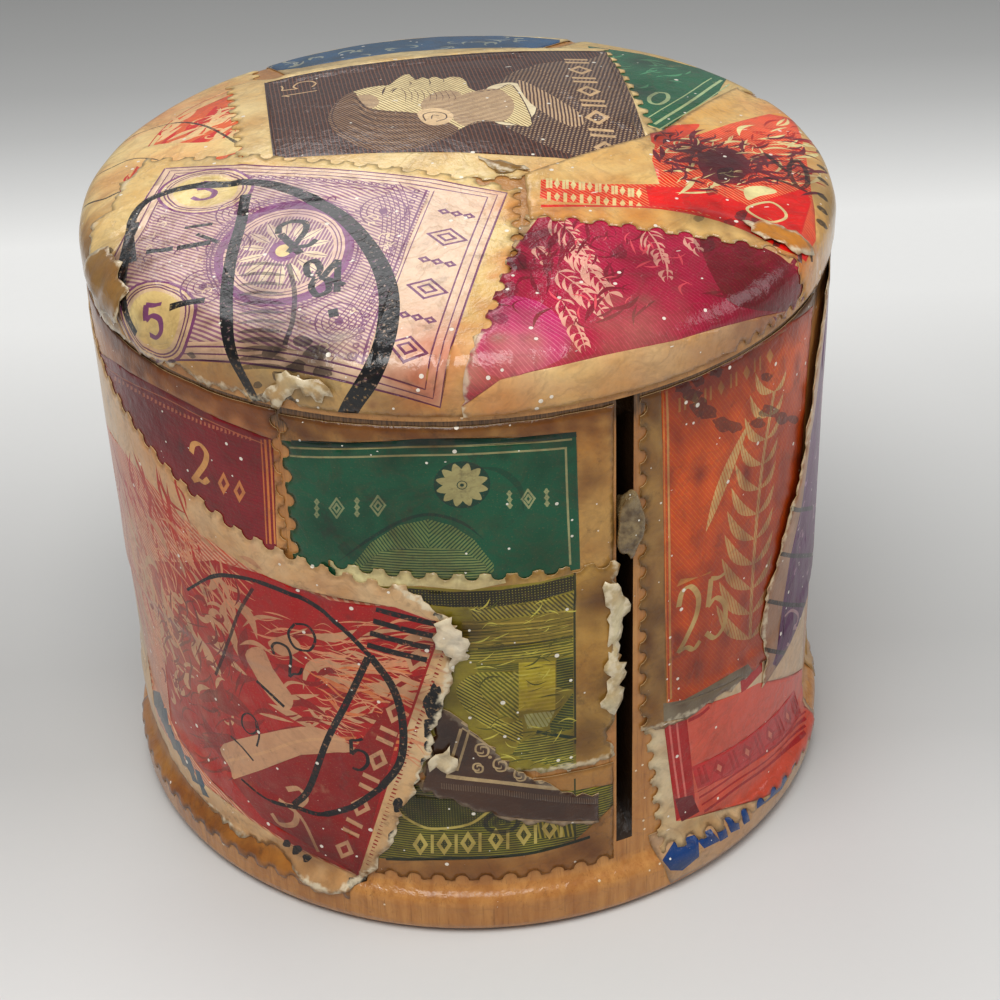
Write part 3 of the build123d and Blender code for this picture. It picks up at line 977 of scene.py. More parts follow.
WALL = [
    ("buff", 0, "cut cut perf cut", [(-45, 8), (-18.3, 8), (-18.3, 2.2), (-45, 2.2)]),
    ("maroon", 0, "cut perf cut cut", [(-45, 39.1), (-20.6, 39.1), (-20.9, 20), (-45, 18)]),
    ("green", 0, "cut cut cut perf", [(-20.4, 38.9), (-0.75, 39.1), (-0.8, 26), (-20.4, 27)]),
    ("moss", 0, "cut cut perf cut", [(-18, 12.8), (-0.8, 12.4), (-0.8, 4.1), (-18, 4.1)]),
    ("olive", 1, "perf torn torn perf", [(-18, 29.2), (-0.8, 28.4), (-0.7, 13), (-18, 13.5)]),
    ("brown", 2, "torn torn torn torn torn cut torn torn", [
        (-13.3, 12.1), (-12.2, 19.4), (-10.1, 17.4), (-7.7, 13.8), (-4.6, 11.4), (-1.9, 10.3), (-1.9, 7.8),
        (-8, 9.4)]),
    ("blue_scrap", 1, "cut cut cut perf", [(-44, 9.5), (-29.5, 7.5), (-31, 4.2), (-44, 5.2)]),
    ("red", 3, "perf perf perf torn torn torn torn torn torn torn torn torn cut", [
        (-46, 38.4), (-38.8, 35.2), (-24.2, 29.8), (-13.8, 28.1), (-10.4, 25.2), (-11.5, 19.4),
        (-13.5, 12), (-16.5, 4.7), (-19.3, 2.4), (-26.8, 3.4), (-36, 4.8), (-45, 7.5), (-47, 20)]),
    ("rose", 1, "cut cut perf perf", [(1.3, 15.6), (20, 15), (21.5, 1.6), (2.6, 3.4)]),
    ("blue_base", 0, "cut perf cut cut", [(1.8, 5), (22, 5), (22.4, 0.8), (3, 0.8)]),
    ("orange", 2, "cut cut torn perf", [(0.95, 39.1), (17.5, 39.1), (16, 13.6), (1.1, 14.3)]),
    ("violet", 3, "cut cut cut torn torn torn",
     [(19.8, 38.8), (33, 39.1), (32, 17), (12.1, 11.9), (11.9, 19.4), (15.5, 27)]),
    ("straw", 0, "cut perf cut cut", [(82, 38.8), (98, 38.8), (98, 20), (82, 20)]),
    ("cocoa", 0, "cut cut perf cut", [(44, 12), (64, 12), (64, 1.9), (44, 1.9)]),
    ("ochre", 1, "cut perf perf cut", [(27, 19), (47, 17), (46, 2.0), (26, 2.4)]),
    ("slate", 1, "perf perf perf cut", [(48, 39), (68, 38.2), (67, 19), (47.5, 19)]),
    ("plum", 1, "cut perf perf cut", [(66, 18.4), (88, 17.6), (88, 2.2), (68, 2.0)]),
    ("vermilion", 1, "perf perf perf cut", [(92, 39), (105, 37), (103, 17), (91, 19)]),
    ("teal", 2, "perf perf perf cut", [(31, 38.4), (51, 36.4), (49, 13), (29.5, 15)]),
    ("sage", 2, "cut perf perf perf", [(65.5, 39.1), (85.5, 39.1), (84.5, 17), (67, 18.5)]),
    ("coral", 3, "perf perf perf perf", [(47, 24), (70.5, 28), (73.5, 9.6), (50, 5.4)]),
    ("navy", 3, "perf perf perf perf", [(82, 21.6), (101, 24.6), (104, 4.6), (85, 2.1)]),
]

LID = [
    ("red", 0, "perf", [(-5.9, 22), (-11, 3.5), (-19, 2), (-26, 0.8), (-27, 14), (-17, 26), (-6, 28)]),
    ("blue", 0, "", [(-5, 16), (10, 12), (17, 17), (18, 24), (4, 28), (-5, 27)]),
    ("green", 0, "cut cut cut perf", [(10.4, 11.6), (18, 16.4), (27, 12), (25.2, 3.4), (11.6, -5.4),
                                      (9.4, 0)]),
    ("tan", 0, "torn torn", [(-21.5, 0.4), (-20.5, -6), (-28, -9), (-28, 0.2)]),
    ("portrait", 1, "cut perf perf perf", [(-9.2, 18.9), (17.2, 12.4), (10.4, -10.6), (-14.8, -2.2)]),
    ("lilac", 2, "perf perf cut torn torn torn torn", [
        (-17.6, 9.8), (0.7, -8.8), (-8.9, -28), (-20, -20), (-28, -5), (-24.6, -1.4), (-23.4, 3)]),
    ("crimson", 3, "perf cut cut cut perf cut cut torn", [
        (-7.3, -20.6), (-0.3, -11.6), (9.6, -14.6), (16.6, -19.2), (20, -22), (10, -30), (-9, -30),
        (-9.6, -22.7)]),
    ("pink", 4, "perf cut cut torn", [
        (-0.3, -12.2), (15.2, -20.8), (19, -26), (28, -7), (22.2, 2.6), (12.2, -4.9), (1.6, -7.4)]),
]


def skin_outline(plan):
    """A lid outline drawn from above, taken down over the rim."""
    out = []
    for (x0, y0), (x1, y1) in zip(plan, plan[1:] + plan[:1]):
        count = max(2, int(math.dist((x0, y0), (x1, y1)) / 0.05))
        line = [plan_to_skin(x0 + (x1 - x0) * i / count, y0 + (y1 - y0) * i / count) for i in range(count)]
        out.append(line)
    return out


def simplify(path, tolerance=0.04):
    """Drops points that lie on the straight between their neighbours."""
    path = [np.asarray(p, float) for p in path]
    if len(path) < 3:
        return path
    a, b = path[0], path[-1]
    d = b - a
    mid = np.array(path[1:-1])
    off = np.abs((mid - a) @ np.array([-d[1], d[0]])) / max(np.hypot(*d), 1e-9)
    k = int(off.argmax())
    if off[k] < tolerance:
        return [a, b]
    return simplify(path[: k + 2], tolerance)[:-1] + simplify(path[k + 1:], tolerance)


def lid_corners(plan, kinds):
    """Corners in skin millimetres and the kind of each side."""
    kinds = kinds + ["cut"] * len(plan)
    corners, sides = [], []
    pieces = skin_outline(plan)
    for i, line in enumerate(pieces):
        whole = line + [pieces[(i + 1) % len(pieces)][0]]
        path = simplify(whole, 0.06)[:-1]
        for p in path:
            corners.append((float(p[0]), float(p[1])))
            sides.append(kinds[i])
    return corners, sides


# Artwork of the stamps that the photograph shows

def art_green(b):
    ink, line = (6, 84, 58), (170, 168, 128)
    field = b.style(ink, (22, 104, 74), 0.0, 0.28, 1.3)
    dark = b.style((2, 58, 44), (8, 78, 58), 0.0, 0.3, 1.1)
    pale = b.style(line)
    b.area([(280, 442), (420, 440), (577, 433), (581, 570), (420, 590), (280, 570)], field)
    b.area([(290, 441.5), (420, 440), (577, 433), (577.5, 438), (420, 446), (290, 447)], dark)
    for dy in (7, 15.5):
        b.line([(288, 442 + dy), (360, 442.5 + dy), (420, 441 + dy), (500, 438.5 + dy),
                (577 - dy * 0.6, 433.6 + dy)], 0.13, pale)
    b.line([(566.5, 449), (568, 500), (571, 566)], 0.13, pale)
    ground = b.style((120, 136, 88), (12, 70, 48), 0.55, 0.2, 0.62)
    ground2 = b.style((120, 136, 88), (12, 70, 48), -0.75, 0.2, 0.58)
    flat = b.style((128, 140, 92), (16, 66, 46), 1.57, 0.19, 0.6)
    b.area([(352, 566), (370, 544), (398, 527), (428, 521), (430, 572), (356, 574)], ground)
    b.area([(428, 521), (452, 527), (474, 541), (494, 566), (494, 574), (430, 572)], ground2)
    b.area([(356, 572), (380, 553), (420, 549), (460, 551), (486, 566), (486, 580), (356, 580)], flat)
    b.line([(338, 562), (368, 541), (400, 523), (430, 516), (462, 524), (484, 541)], 0.22, dark, taper=0.2)
    c = np.array(on_wall(462, 486))
    b.add(disc(c, 1.62, 28), dark)
    rosette(b, c, 1.5, 12, b.style((176, 166, 122)), dark)
    frets(b, b.quad([(306, 499), (388, 495), (388, 517), (306, 520)]), 4, b.style((150, 158, 120)), 0.12)
    frets(b, b.quad([(500, 491), (556, 488), (557, 508), (501, 511)]), 3, b.style((160, 164, 124)), 0.12)
    postmark(b, [(470, 468), (500, 472), (520, 489), (524, 512)], 0.4, 0.35, taper=0.4)
    postmark(b, [(340, 545), (352, 556), (372, 566)], 0.7, 0.3)


def art_olive(b):
    field = b.style((116, 106, 50), (140, 126, 66), 1.57, 0.34, 1.0)
    b.area([(330, 584), (400, 586), (470, 589), (540, 582), (575, 574), (576, 700), (577, 780), (330, 780)],
           field)
    strip = b.style((196, 188, 148), cover=0.9)
    b.area([(330, 560), (500, 560), (506, 583), (470, 590), (420, 586), (330, 583)], strip)
    grid = b.style((26, 26, 12), (126, 118, 56), 0.0, 0.19, 0.72, 1.0)
    b.area([(330, 588), (400, 587.5), (453, 592), (500, 590), (540, 584), (575, 575), (575, 590), (540, 600),
            (500, 606), (453, 607), (400, 602), (330, 600)], grid)
    slant = b.style((66, 62, 28), (140, 126, 64), 0.62, 0.22, 0.5)
    b.area([(470, 608), (520, 604), (575, 592), (575, 610), (520, 618), (474, 622)], slant)
    band = b.style((112, 98, 50), (150, 130, 70), 1.5, 0.5, 0.8)
    b.area([(462, 622), (520, 619), (575, 610), (575, 638), (480, 650), (462, 650)], band)
    b.line([(478, 650), (520, 646), (574, 638)], 0.12, b.style((52, 50, 22)))
    yellow = b.style((150, 138, 62), (166, 152, 74), 1.57, 0.3, 0.6)
    b.area([(519, 664), (556, 662), (556, 711), (519, 713)], yellow)
    b.area([(476, 665), (519, 664), (519, 672), (478, 673)],
           b.style((74, 76, 32), (120, 112, 50), 1.57, 0.16, 0.7))
    b.area([(476, 674), (519, 673), (519, 722), (500, 716), (482, 700)],
           b.style((82, 84, 34), (152, 142, 72), 0.7, 0.23, 0.55))
    b.area([(557, 660), (574, 658), (574, 690), (557, 692)],
           b.style((48, 56, 24), (126, 122, 56), 1.57, 0.2, 0.75))
    b.area([(550, 726), (574, 694), (574, 730), (552, 735)],
           b.style((44, 56, 26), (120, 118, 54), 1.2, 0.2, 0.7))
    b.area([(524, 716), (556, 712), (548, 728), (528, 730)],
           b.style((150, 150, 110), (120, 116, 60), 0.4, 0.24, 0.7))
    b.line([(575, 568), (575.5, 650), (576, 745)], 0.14, b.style((44, 46, 22)), 3)
    b.line([(537, 733), (560, 737), (596, 742)], 0.26, b.style((22, 40, 26)), 3)
    low = b.style((70, 72, 30), (146, 134, 68), 1.57, 0.2, 0.45)
    b.area([(462, 652), (480, 652), (574, 640), (574, 656), (520, 661), (470, 664)], low)
    hill = b.style((62, 64, 26), (156, 144, 74), 0.9, 0.21, 0.5)
    b.area([(456, 690), (476, 676), (484, 702), (506, 724), (522, 722), (520, 744), (490, 730), (466, 712)],
           hill, 3)
    b.area([(520, 744), (540, 736), (574, 742), (574, 770), (540, 764), (512, 756)],
           b.style((60, 66, 28), (140, 132, 66), 1.57, 0.2, 0.55))
    for i in range(9):
        y = 622 + i * 3.1
        b.line([(462, y + 9), (500, y + 6), (540, y + 2), (573, y - 4)], 0.06, b.style((66, 62, 26)), 3)
    flames(b, [(462, 600), (574, 590), (574, 780), (462, 760)], 60, b.style((178, 170, 96)), 111, (0.4, 1.6),
           0.1, 0.4, 0.05)
    flames(b, [(462, 600), (574, 590), (574, 780), (462, 760)], 60, b.style((70, 70, 30)), 112, (0.4, 1.8),
           0.1, 0.3, 0.05)
    margin = b.style((160, 118, 66), cover=0.35)
    b.area([(577, 560), (640, 550), (640, 780), (577, 790)], margin)


def art_brown(b):
    ink, pale = (62, 36, 22), (188, 164, 128)
    dark = b.style(ink)
    light = b.style(pale)
    comb = b.style(ink, (150, 122, 88), 0.0, 0.16, 0.6)
    b.area([(440, 700), (620, 700), (620, 820), (420, 800)], dark)
    b.area([(452, 706), (480, 722), (512, 748), (547, 764), (600, 769), (600, 757), (550, 748), (515, 730),
            (480, 700)], comb)
    b.line([(462, 722), (484, 737), (512, 756), (547, 768), (600, 773)], 0.24, light)
    b.line([(462, 728), (484, 743), (512, 761), (547, 773), (600, 778)], 0.1, light)
    b.line([(446, 776), (500, 782), (550, 788), (600, 793)], 0.3, light)
    b.line([(440, 786), (500, 792), (600, 802)], 0.5, b.style(ink, (112, 92, 74), 0.0, 0.15, 0.7), 3)
    b.line([(461, 729), (449, 768)], 0.2, light, 0)
    b.line([(469, 731), (457, 771)], 0.16, light, 0)
    for x, y, r in ((482, 750, 8), (500, 765, 8), (478, 768, 6), (520, 775, 7), (541, 779, 5),
                    (560, 782, 4.5), (578, 785, 4)):
        for s in (1, -1):
            pts = [(x + s * r * q * math.cos(t), y + r * q * 0.8 * math.sin(t * s)) for q, t in
                   zip((0.15, 0.5, 0.8, 1.0, 0.95, 0.8), (0, 1.4, 2.8, 4.0, 5.0, 6.0))]
            b.line(pts, 0.13, light, 4, 0.2)
    for x, y in ((490, 757), (509, 768), (531, 778), (551, 781)):
        b.add(disc(on_wall(x, y), 0.13, 8), light)


def art_moss(b):
    grid = b.style((44, 46, 18), (112, 108, 48), 0.0, 0.17, 0.66, 1.0)
    lines = b.style((48, 50, 20), (120, 114, 52), 1.57, 0.2, 0.62)
    b.area([(380, 780), (640, 780), (577, 841), (524, 856), (400, 860), (370, 860)], lines)
    b.area([(400, 795), (534, 800), (534, 815), (500, 826), (470, 829), (440, 832), (412, 823), (398, 805)],
           grid)
    b.area([(534, 800), (577, 800), (577, 838), (534, 840)],
           b.style((52, 54, 20), (134, 122, 58), 0.12, 0.3, 0.6))
    pale = b.style((160, 146, 92))
    b.line([(398, 814), (414, 824), (432, 830), (468, 826), (490, 812)], 0.2, pale)
    for x in (420, 444, 468, 496, 524, 550):
        y = 846 - 0.0011 * (x - 430) ** 2 * (1 if x > 430 else 0)
        outer = [(x - 8, y), (x, y - 12), (x + 8, y), (x, y + 11)]
        b.area(outer, pale)
        b.area([(x - 3.5, y), (x, y - 5.5), (x + 3.5, y), (x, y + 5)], grid)
        b.line([(x + 12, y - 10), (x + 12, y + 9)], 0.2, pale, 0)
    b.line([(385, 860.5), (450, 860), (524, 856), (560, 848), (591, 838.5)], 0.26, b.style((22, 30, 14)), 4)
    b.line([(575.5, 780), (576, 842)], 0.12, b.style((44, 46, 22)), 0)
    c = on_wall(502, 824)
    for r, w, strength in ((1.05, 0.32, 0.8), (0.45, 0.3, 0.55)):
        b.add(stroke(disc(c, r, 24, 0.8), w, True), b.style(None, mark=strength))


def art_red(b):
    red, deep, cream = (172, 34, 30), (140, 22, 24), (206, 160, 128)
    salmon = b.style((206, 116, 96), (232, 184, 154), 1.1, 0.3, 0.55)
    strong = b.style(red, (190, 62, 50), 1.0, 0.34, 1.25)
    band = b.style(deep, red, 0.2, 0.4, 1.4)
    pale = b.style(cream, (196, 128, 98), 0.9, 0.35, 1.2)
    b.area([(96, 420), (120, 446), (150, 482), (200, 534), (250, 568), (300, 590), (395, 606), (440, 622),
            (356, 875), (250, 820), (160, 720), (112, 560)], salmon)
    flames(b, [(112, 450), (170, 500), (240, 590), (140, 600)], 60, b.style((190, 60, 50)), 107, (0.8, 3.4),
           -1.0, 0.4, 0.07)
    flames(b, [(200, 545), (260, 575), (340, 604), (240, 600)], 30, b.style((196, 84, 66)), 108, (0.5, 1.8),
           -0.6, 0.5, 0.07)
    b.area([(150, 560), (215, 560), (262, 574), (330, 600), (395, 606), (441, 624), (357, 874), (250, 818),
            (170, 720)], strong)
    flames(b, [(108, 420), (170, 440), (190, 600), (124, 580)], 70, b.style((188, 74, 62)), 3, (1.5, 4.5),
           -1.1, 0.35, 0.07)
    flames(b, [(108, 430), (260, 560), (240, 640), (130, 640)], 44, pale, 4, (1.4, 4.0), -1.0, 0.5, 0.13)
    scrolls(b, [(140, 560), (240, 590), (230, 720), (160, 700)], 26, pale, 0.5, 5, 4.4)
    scrolls(b, [(140, 560), (240, 590), (230, 720), (160, 700)], 16, b.style(deep), 0.4, 6, 3.4)
    flames(b, [(190, 660), (300, 640), (280, 780), (200, 760)], 30, b.style(deep), 7, (1.6, 4.2), 0.5, 0.6,
           0.16)
    flames(b, [(230, 620), (420, 630), (380, 720), (250, 740)], 44, pale, 8, (1.6, 4.6), 0.15, 0.35, 0.09)
    flames(b, [(230, 620), (420, 630), (380, 720), (250, 740)], 30, b.style(deep), 9, (1.4, 3.6), 0.1, 0.35,
           0.1)
    flames(b, [(300, 650), (412, 655), (380, 760), (300, 740)], 40, b.style((216, 132, 96)), 10, (1.2, 3.4),
           -0.2, 0.3, 0.07)
    fine = b.style((222, 158, 126))
    flames(b, [(150, 470), (240, 560), (236, 600), (150, 600)], 60, fine, 101, (0.8, 3.0), -0.9, 0.4, 0.05)
    flames(b, [(240, 600), (430, 622), (412, 668), (250, 680)], 80, fine, 102, (1.0, 3.6), 0.12, 0.2, 0.035)
    flames(b, [(300, 650), (425, 650), (400, 760), (300, 745)], 90, fine, 103, (0.8, 2.8), -0.3, 0.25, 0.04)
    flames(b, [(150, 600), (240, 600), (240, 740), (170, 700)], 70, b.style((120, 16, 20)), 104, (0.8, 3.0),
           1.1, 0.5, 0.05)
    flames(b, [(170, 700), (300, 760), (290, 820), (200, 770)], 60, b.style((128, 18, 22)), 105, (1.0, 4.0),
           0.6, 0.25, 0.04)
    flames(b, [(118, 470), (170, 520), (170, 680), (130, 640)], 70, fine, 106, (0.8, 3.2), -1.2, 0.35, 0.05)
    b.area([(245, 655), (262, 648), (276, 676), (292, 700), (284, 712), (262, 690)], pale, 4)
    b.area([(268, 642), (290, 636), (300, 650), (282, 656)], pale, 4)
    b.area([(222, 745), (300, 728), (345, 742), (352, 756), (300, 762), (240, 782), (228, 768)], pale, 4)
    b.area([(232, 780), (300, 756), (352, 752), (392, 700), (404, 716), (357, 874), (300, 840), (262, 818)],
           band)
    b.line([(224, 762), (262, 754), (300, 742), (345, 740)], 0.22, b.style((214, 168, 132)), 4)
    along = b.quad([(411, 640), (432, 646), (350, 866), (330, 858)])
    for i in range(9):
        y0 = 0.02 + i * 0.108
        if i % 2:
            b.add(mapped(along, [(0.08, y0 + 0.012), (0.92, y0 + 0.022), (0.92, y0 + 0.04),
                                 (0.08, y0 + 0.03)]), pale)
            b.add(mapped(along, [(0.08, y0 + 0.058), (0.92, y0 + 0.068), (0.92, y0 + 0.086),
                                 (0.08, y0 + 0.076)]), pale)
        else:
            b.add(mapped(along, [(0.02, y0 + 0.05), (0.5, y0), (0.98, y0 + 0.05), (0.5, y0 + 0.1)]), pale)
            b.add(mapped(along, [(0.28, y0 + 0.05), (0.5, y0 + 0.026), (0.72, y0 + 0.05), (0.5, y0 + 0.075)]),
                  band)
    low = b.quad([(286, 786), (312, 794), (292, 832), (268, 816)])
    numeral(b, "3", low, 0.45, pale)
    b.line([(278, 800), (300, 816), (318, 852)], 0.24, pale, 4)
    edge_line = b.style((164, 40, 34))
    b.line([(441.5, 626), (400, 745), (357, 876)], 0.16, edge_line, 3)
    tiny = b.quad([(446, 640), (450, 641), (370, 868), (365, 866)])
    g = np.random.default_rng(12)
    for i in range(58):
        y = (i + 0.3) / 58
        h = g.uniform(0.003, 0.009)
        b.add(mapped(tiny, [(0.0, y), (g.uniform(0.6, 1.1), y + 0.002), (g.uniform(0.6, 1.1), y + h),
                            (0.0, y + h)]), b.style((150, 50, 40)))
    postmark(b, [(187, 590), (211, 577), (232, 576), (262, 583), (304, 601), (340, 627), (370, 656)],
             [0.2] * 6 + [0.3] * 12 + [0.36] * 19)
    postmark(b, [(370, 656), (393, 688), (403, 725), (400, 762), (381, 788)], 0.52)
    postmark(b, [(381, 788), (350, 808), (322, 815), (296, 808), (268, 800), (240, 780)],
             [0.44] * 12 + [0.3] * 12 + [0.16] * 7)
    postmark(b, [(253, 588), (238, 614), (228, 642), (214, 676)], 0.24, 0.85)
    postmark(b, [(368, 658), (347, 702), (326, 742), (308, 790), (293, 806)], 0.46)
    m = b.style(None, mark=1.0)
    numeral(b, "0", b.quad([(283, 627), (306, 621), (319, 648), (297, 656)]), 0.2, m, 0.2)
    numeral(b, "2", b.quad([(268, 646), (285, 640), (304, 672), (288, 679)]), 0.22, m, 0.2)
    b.line([(255, 682), (268, 694), (283, 708)], 0.26, m, 3)
    numeral(b, "9", b.quad([(236, 718), (252, 712), (265, 744), (249, 750)]), 0.16, m, 0.2)
    b.line([(229, 737), (240, 748), (252, 762)], 0.18, m, 3)
    numeral(b, "5", b.quad([(346, 740), (364, 738), (371, 768), (352, 772)]), 0.26, m, 0.2)
    slate = b.style((44, 78, 100), (90, 112, 118), 0.4, 0.3, 1.1)
    for x, y in ((153, 690), (160, 706), (167, 722), (176, 738), (186, 754), (196, 768)):
        b.area([(x, y), (x + 5, y + 3), (x + 10, y + 17), (x + 8, y + 22), (x + 3, y + 14)], slate)
        b.area([(x + 4, y + 14), (x + 9, y + 18), (x + 14, y + 30), (x + 8, y + 26)], slate)
    for a0, a1 in (((376, 609), (436, 624)), ((373, 621), (433, 636)), ((370, 633), (430, 648)),
                   ((367, 645), (427, 660))):
        b.line([a0, a1], 0.42, m, 0)
    g = np.random.default_rng(14)
    blots(b, g, ((436, 704, 14), (432, 730, 13), (440, 756, 10), (424, 780, 9), (398, 806, 8), (392, 836, 7),
                 (440, 612, 8), (440, 600, 5), (447, 607, 6), (452, 612, 5), (464, 660, 4), (468, 668, 3),
                 (436, 690, 7), (442, 704, 9), (437, 724, 10),
                    (446, 736, 6), (430, 744, 6), (424, 760, 5), (352, 882, 7), (366, 886, 9), (382, 882, 6),
                    (296, 850, 6), (286, 844, 5), (306, 858, 5)), m)


def art_maroon(b):
    ink = (120, 22, 40)
    field = b.style(ink, (96, 14, 30), 1.57, 0.26, 0.9)
    b.area([(90, 346), (112, 362), (150, 385), (200, 411), (271, 441), (276, 560), (180, 520), (90, 430)],
           field)
    cream = b.style((212, 160, 110))
    b.line([(100, 362), (150, 393), (200, 418), (262, 445)], 0.08, b.style((176, 110, 84)), 4)
    g = np.random.default_rng(2)
    for i in range(34):
        t = i / 34
        x, y = 112 + 140 * t, 377 + 62 * t + 6 * math.sin(3.1 * t)
        b.area([(x, y), (x + g.uniform(1.5, 2.8), y + 1), (x + g.uniform(1.5, 2.6), y + g.uniform(3, 5)),
                (x, y + 4)], b.style((178, 110, 88)))
    for x, w, c in ((259.5, 0.1, (186, 112, 76)), (263.5, 0.16, (196, 122, 80)), (268, 0.12, (198, 128, 84))):
        b.line([(x, 441), (x + 2.5, 480), (x + 6, 545)], w, b.style(c), 3)
    numeral(b, "2", b.quad([(188, 443), (207, 447), (207, 484), (190, 482)]), 0.42, cream)
    for x, y in ((222, 484), (238, 492)):
        b.area([(x - 6, y), (x, y - 11), (x + 6, y + 2), (x, y + 12)], b.style((196, 130, 90)))
        b.area([(x - 2.5, y), (x, y - 5), (x + 2.5, y + 1), (x, y + 5)], field)


def art_blue_scrap(b):
    ink = b.style((44, 74, 98), (84, 106, 120), 0.2, 0.3, 0.9)
    spots = [(150, 706), (157, 717), (163, 729), (170, 741), (178, 754), (186, 765), (194, 776), (201, 785)]
    for i, (x, y) in enumerate(spots):
        r = 3.4 + 2.6 * (i > 3)
        b.area([(x - r, y - 9), (x, y - 11), (x + r, y - 6), (x + r * 0.6, y + 8), (x - r * 0.4, y + 6)], ink)


def art_orange(b):
    ink = (184, 86, 30)
    field = b.style(ink, (206, 118, 56), 0.6, 0.24, 0.9)
    b.area([(663, 380), (720, 360), (770, 334), (822, 300), (822, 700), (745, 674), (668, 707)], field)
    pale = b.style((214, 150, 100))
    b.line([(664.5, 382), (666, 480), (668, 706)], 0.1, b.style((206, 130, 84)), 3)
    b.line([(668.5, 392), (670, 480), (672, 700)], 0.16, b.style((216, 156, 110)), 3)
    b.line([(669, 391), (676, 384), (720, 367), (788, 330)], 0.14, b.style((206, 130, 84)), 4)
    row = [(684, 406), (697, 401), (710, 396), (723, 389), (736, 382), (749, 374), (760, 366), (772, 357)]
    for i, (x, y) in enumerate(row):
        if i % 2:
            b.area([(x - 3.5, y), (x, y - 8), (x + 3.5, y - 1), (x, y + 7)], pale)
        else:
            b.line([(x - 3, y + 7), (x - 3, y - 7)], 0.16, pale, 0)
            b.line([(x + 2.5, y + 5), (x + 2.5, y - 9)], 0.16, pale, 0)
    sprig = b.style((222, 174, 128), (190, 108, 58), 0.3, 0.22, 0.78)
    stem = [(752, 640), (754, 590), (757, 540), (762, 490), (768, 440), (776, 392)]
    b.line(stem, 0.34, sprig, 5)
    g = np.random.default_rng(31)
    for i in range(11):
        t = i / 10
        x, y = np.interp(t, np.linspace(0, 1, 6), [p[0] for p in stem]), np.interp(t, np.linspace(0, 1, 6),
            [p[1] for p in stem])
        size = 1.0 - 0.45 * t
        root = on_wall(x, y)
        left = on_wall(x - 34 * size, y - 34 * size)
        right = on_wall(min(x + 22 * size, 806), y - 40 * size)
        b.add(leaf(root, left, 0.34 * size + 0.08, 0.5), sprig)
        b.add(leaf(root, right, 0.3 * size + 0.08, -0.4), sprig)
        b.add(stroke(curve([root, (np.array(root) + np.array(left)) / 2 + 0.12, left], 4), 0.06, taper=0.3),
              field)
    b.add(leaf(on_wall(707, 534), on_wall(752, 420), 0.5, 0.3), sprig)
    b.area([(678, 588), (682, 580), (700, 578), (712, 574), (712, 572)], pale)
    numeral(b, "2", b.quad([(679, 592), (703, 584), (702, 648), (678, 655)]), 0.42, b.style((218, 184, 136)))
    numeral(b, "5", b.quad([(707, 580), (728, 572), (729, 634), (706, 642)]), 0.42, b.style((218, 184, 136)))
    m = b.style(None, mark=0.62)
    g = np.random.default_rng(21)
    blots(b, g, ((684, 388, 9), (694, 396, 10), (702, 408, 11), (710, 414, 9), (724, 424, 10), (736, 428, 8),
                 (770, 412, 10), (782, 418, 8),
                    (760, 424, 7), (768, 378, 6), (718, 372, 8), (700, 382, 7), (796, 420, 6)), m, (0.5, 1.0),
                    (0.6, 1.2), 0.6)
    torn = b.style((120, 112, 96))
    b.area([(664, 704), (684, 700), (706, 688), (730, 674), (748, 664), (760, 680), (700, 716), (664, 722)],
           torn)


def art_violet(b):
    ink = (92, 40, 88)
    field = b.style(ink, (132, 78, 120), 0.1, 0.24, 1.0)
    b.area([(826, 300), (824, 372), (809, 440), (802, 500), (790, 556), (782, 610), (772, 664), (830, 690),
            (870, 600), (870, 300)], field)
    b.line([(820, 400), (812, 440), (805, 500), (794, 556), (786, 610), (776, 664)], 0.16,
           b.style((74, 40, 76)), 4)
    m = b.style(None, mark=0.9)
    for y, x0, x1 in ((506, 784, 815), (552, 775, 815), (601, 768, 815), (649, 763, 812)):
        b.line([(x0, y), ((x0 + x1) / 2, y + 4), (x1, y + 2)], 0.3, m, 4)
    # The side that the camera does not see: the printed field goes round with a plain medallion
    plain, frame_line = b.style((204, 172, 176)), b.style((70, 28, 74))
    b.add(np.array([(20.5, 37.4), (24, 37.5), (31.2, 37.6), (31.0, 28), (30.6, 18.6), (26, 17.2),
                    (19.4, 16.0), (18, 26)]), field)
    for inset, w in ((0.45, 0.14), (0.8, 0.08)):
        b.add(stroke(np.array([(21.5, 37.4 - inset), (27, 37.5 - inset), (31.2 - inset, 37.6 - inset),
                               (31 - inset, 28), (30.6 - inset, 18.8 + inset), (24, 16.9 + inset)]), w),
                               plain)
    hub = np.array([25.6, 29.0])
    b.add(disc(hub, 3.9, 44), frame_line)
    b.add(disc(hub, 3.6, 44), plain)
    b.add(disc(hub, 3.4, 44), b.style((92, 40, 88), (176, 130, 160), 0.9, 0.22, 0.6))
    rosette(b, hub, 3.0, 14, plain, frame_line)
    numeral(b, "3", lambda x, y: np.array([22.6 + 1.6 * x, 22.2 - 2.6 * y]), 0.36, plain)
    numeral(b, "0", lambda x, y: np.array([25.0 + 1.6 * x, 22.0 - 2.6 * y]), 0.36, plain)
    for k in range(5):
        b.add(stroke(np.array([(27.6, 22.0 - 0.6 * k), (30.0, 21.9 - 0.6 * k)]), 0.14), plain)
    numeral(b, "3", b.quad([(783, 612), (800, 608), (800, 644), (784, 648)]), 0.26, b.style((186, 152, 160)))
    scrolls(b, [(800, 380), (822, 380), (816, 600), (792, 590)], 18, b.style((158, 122, 146)), 0.22, 44, 2.4)


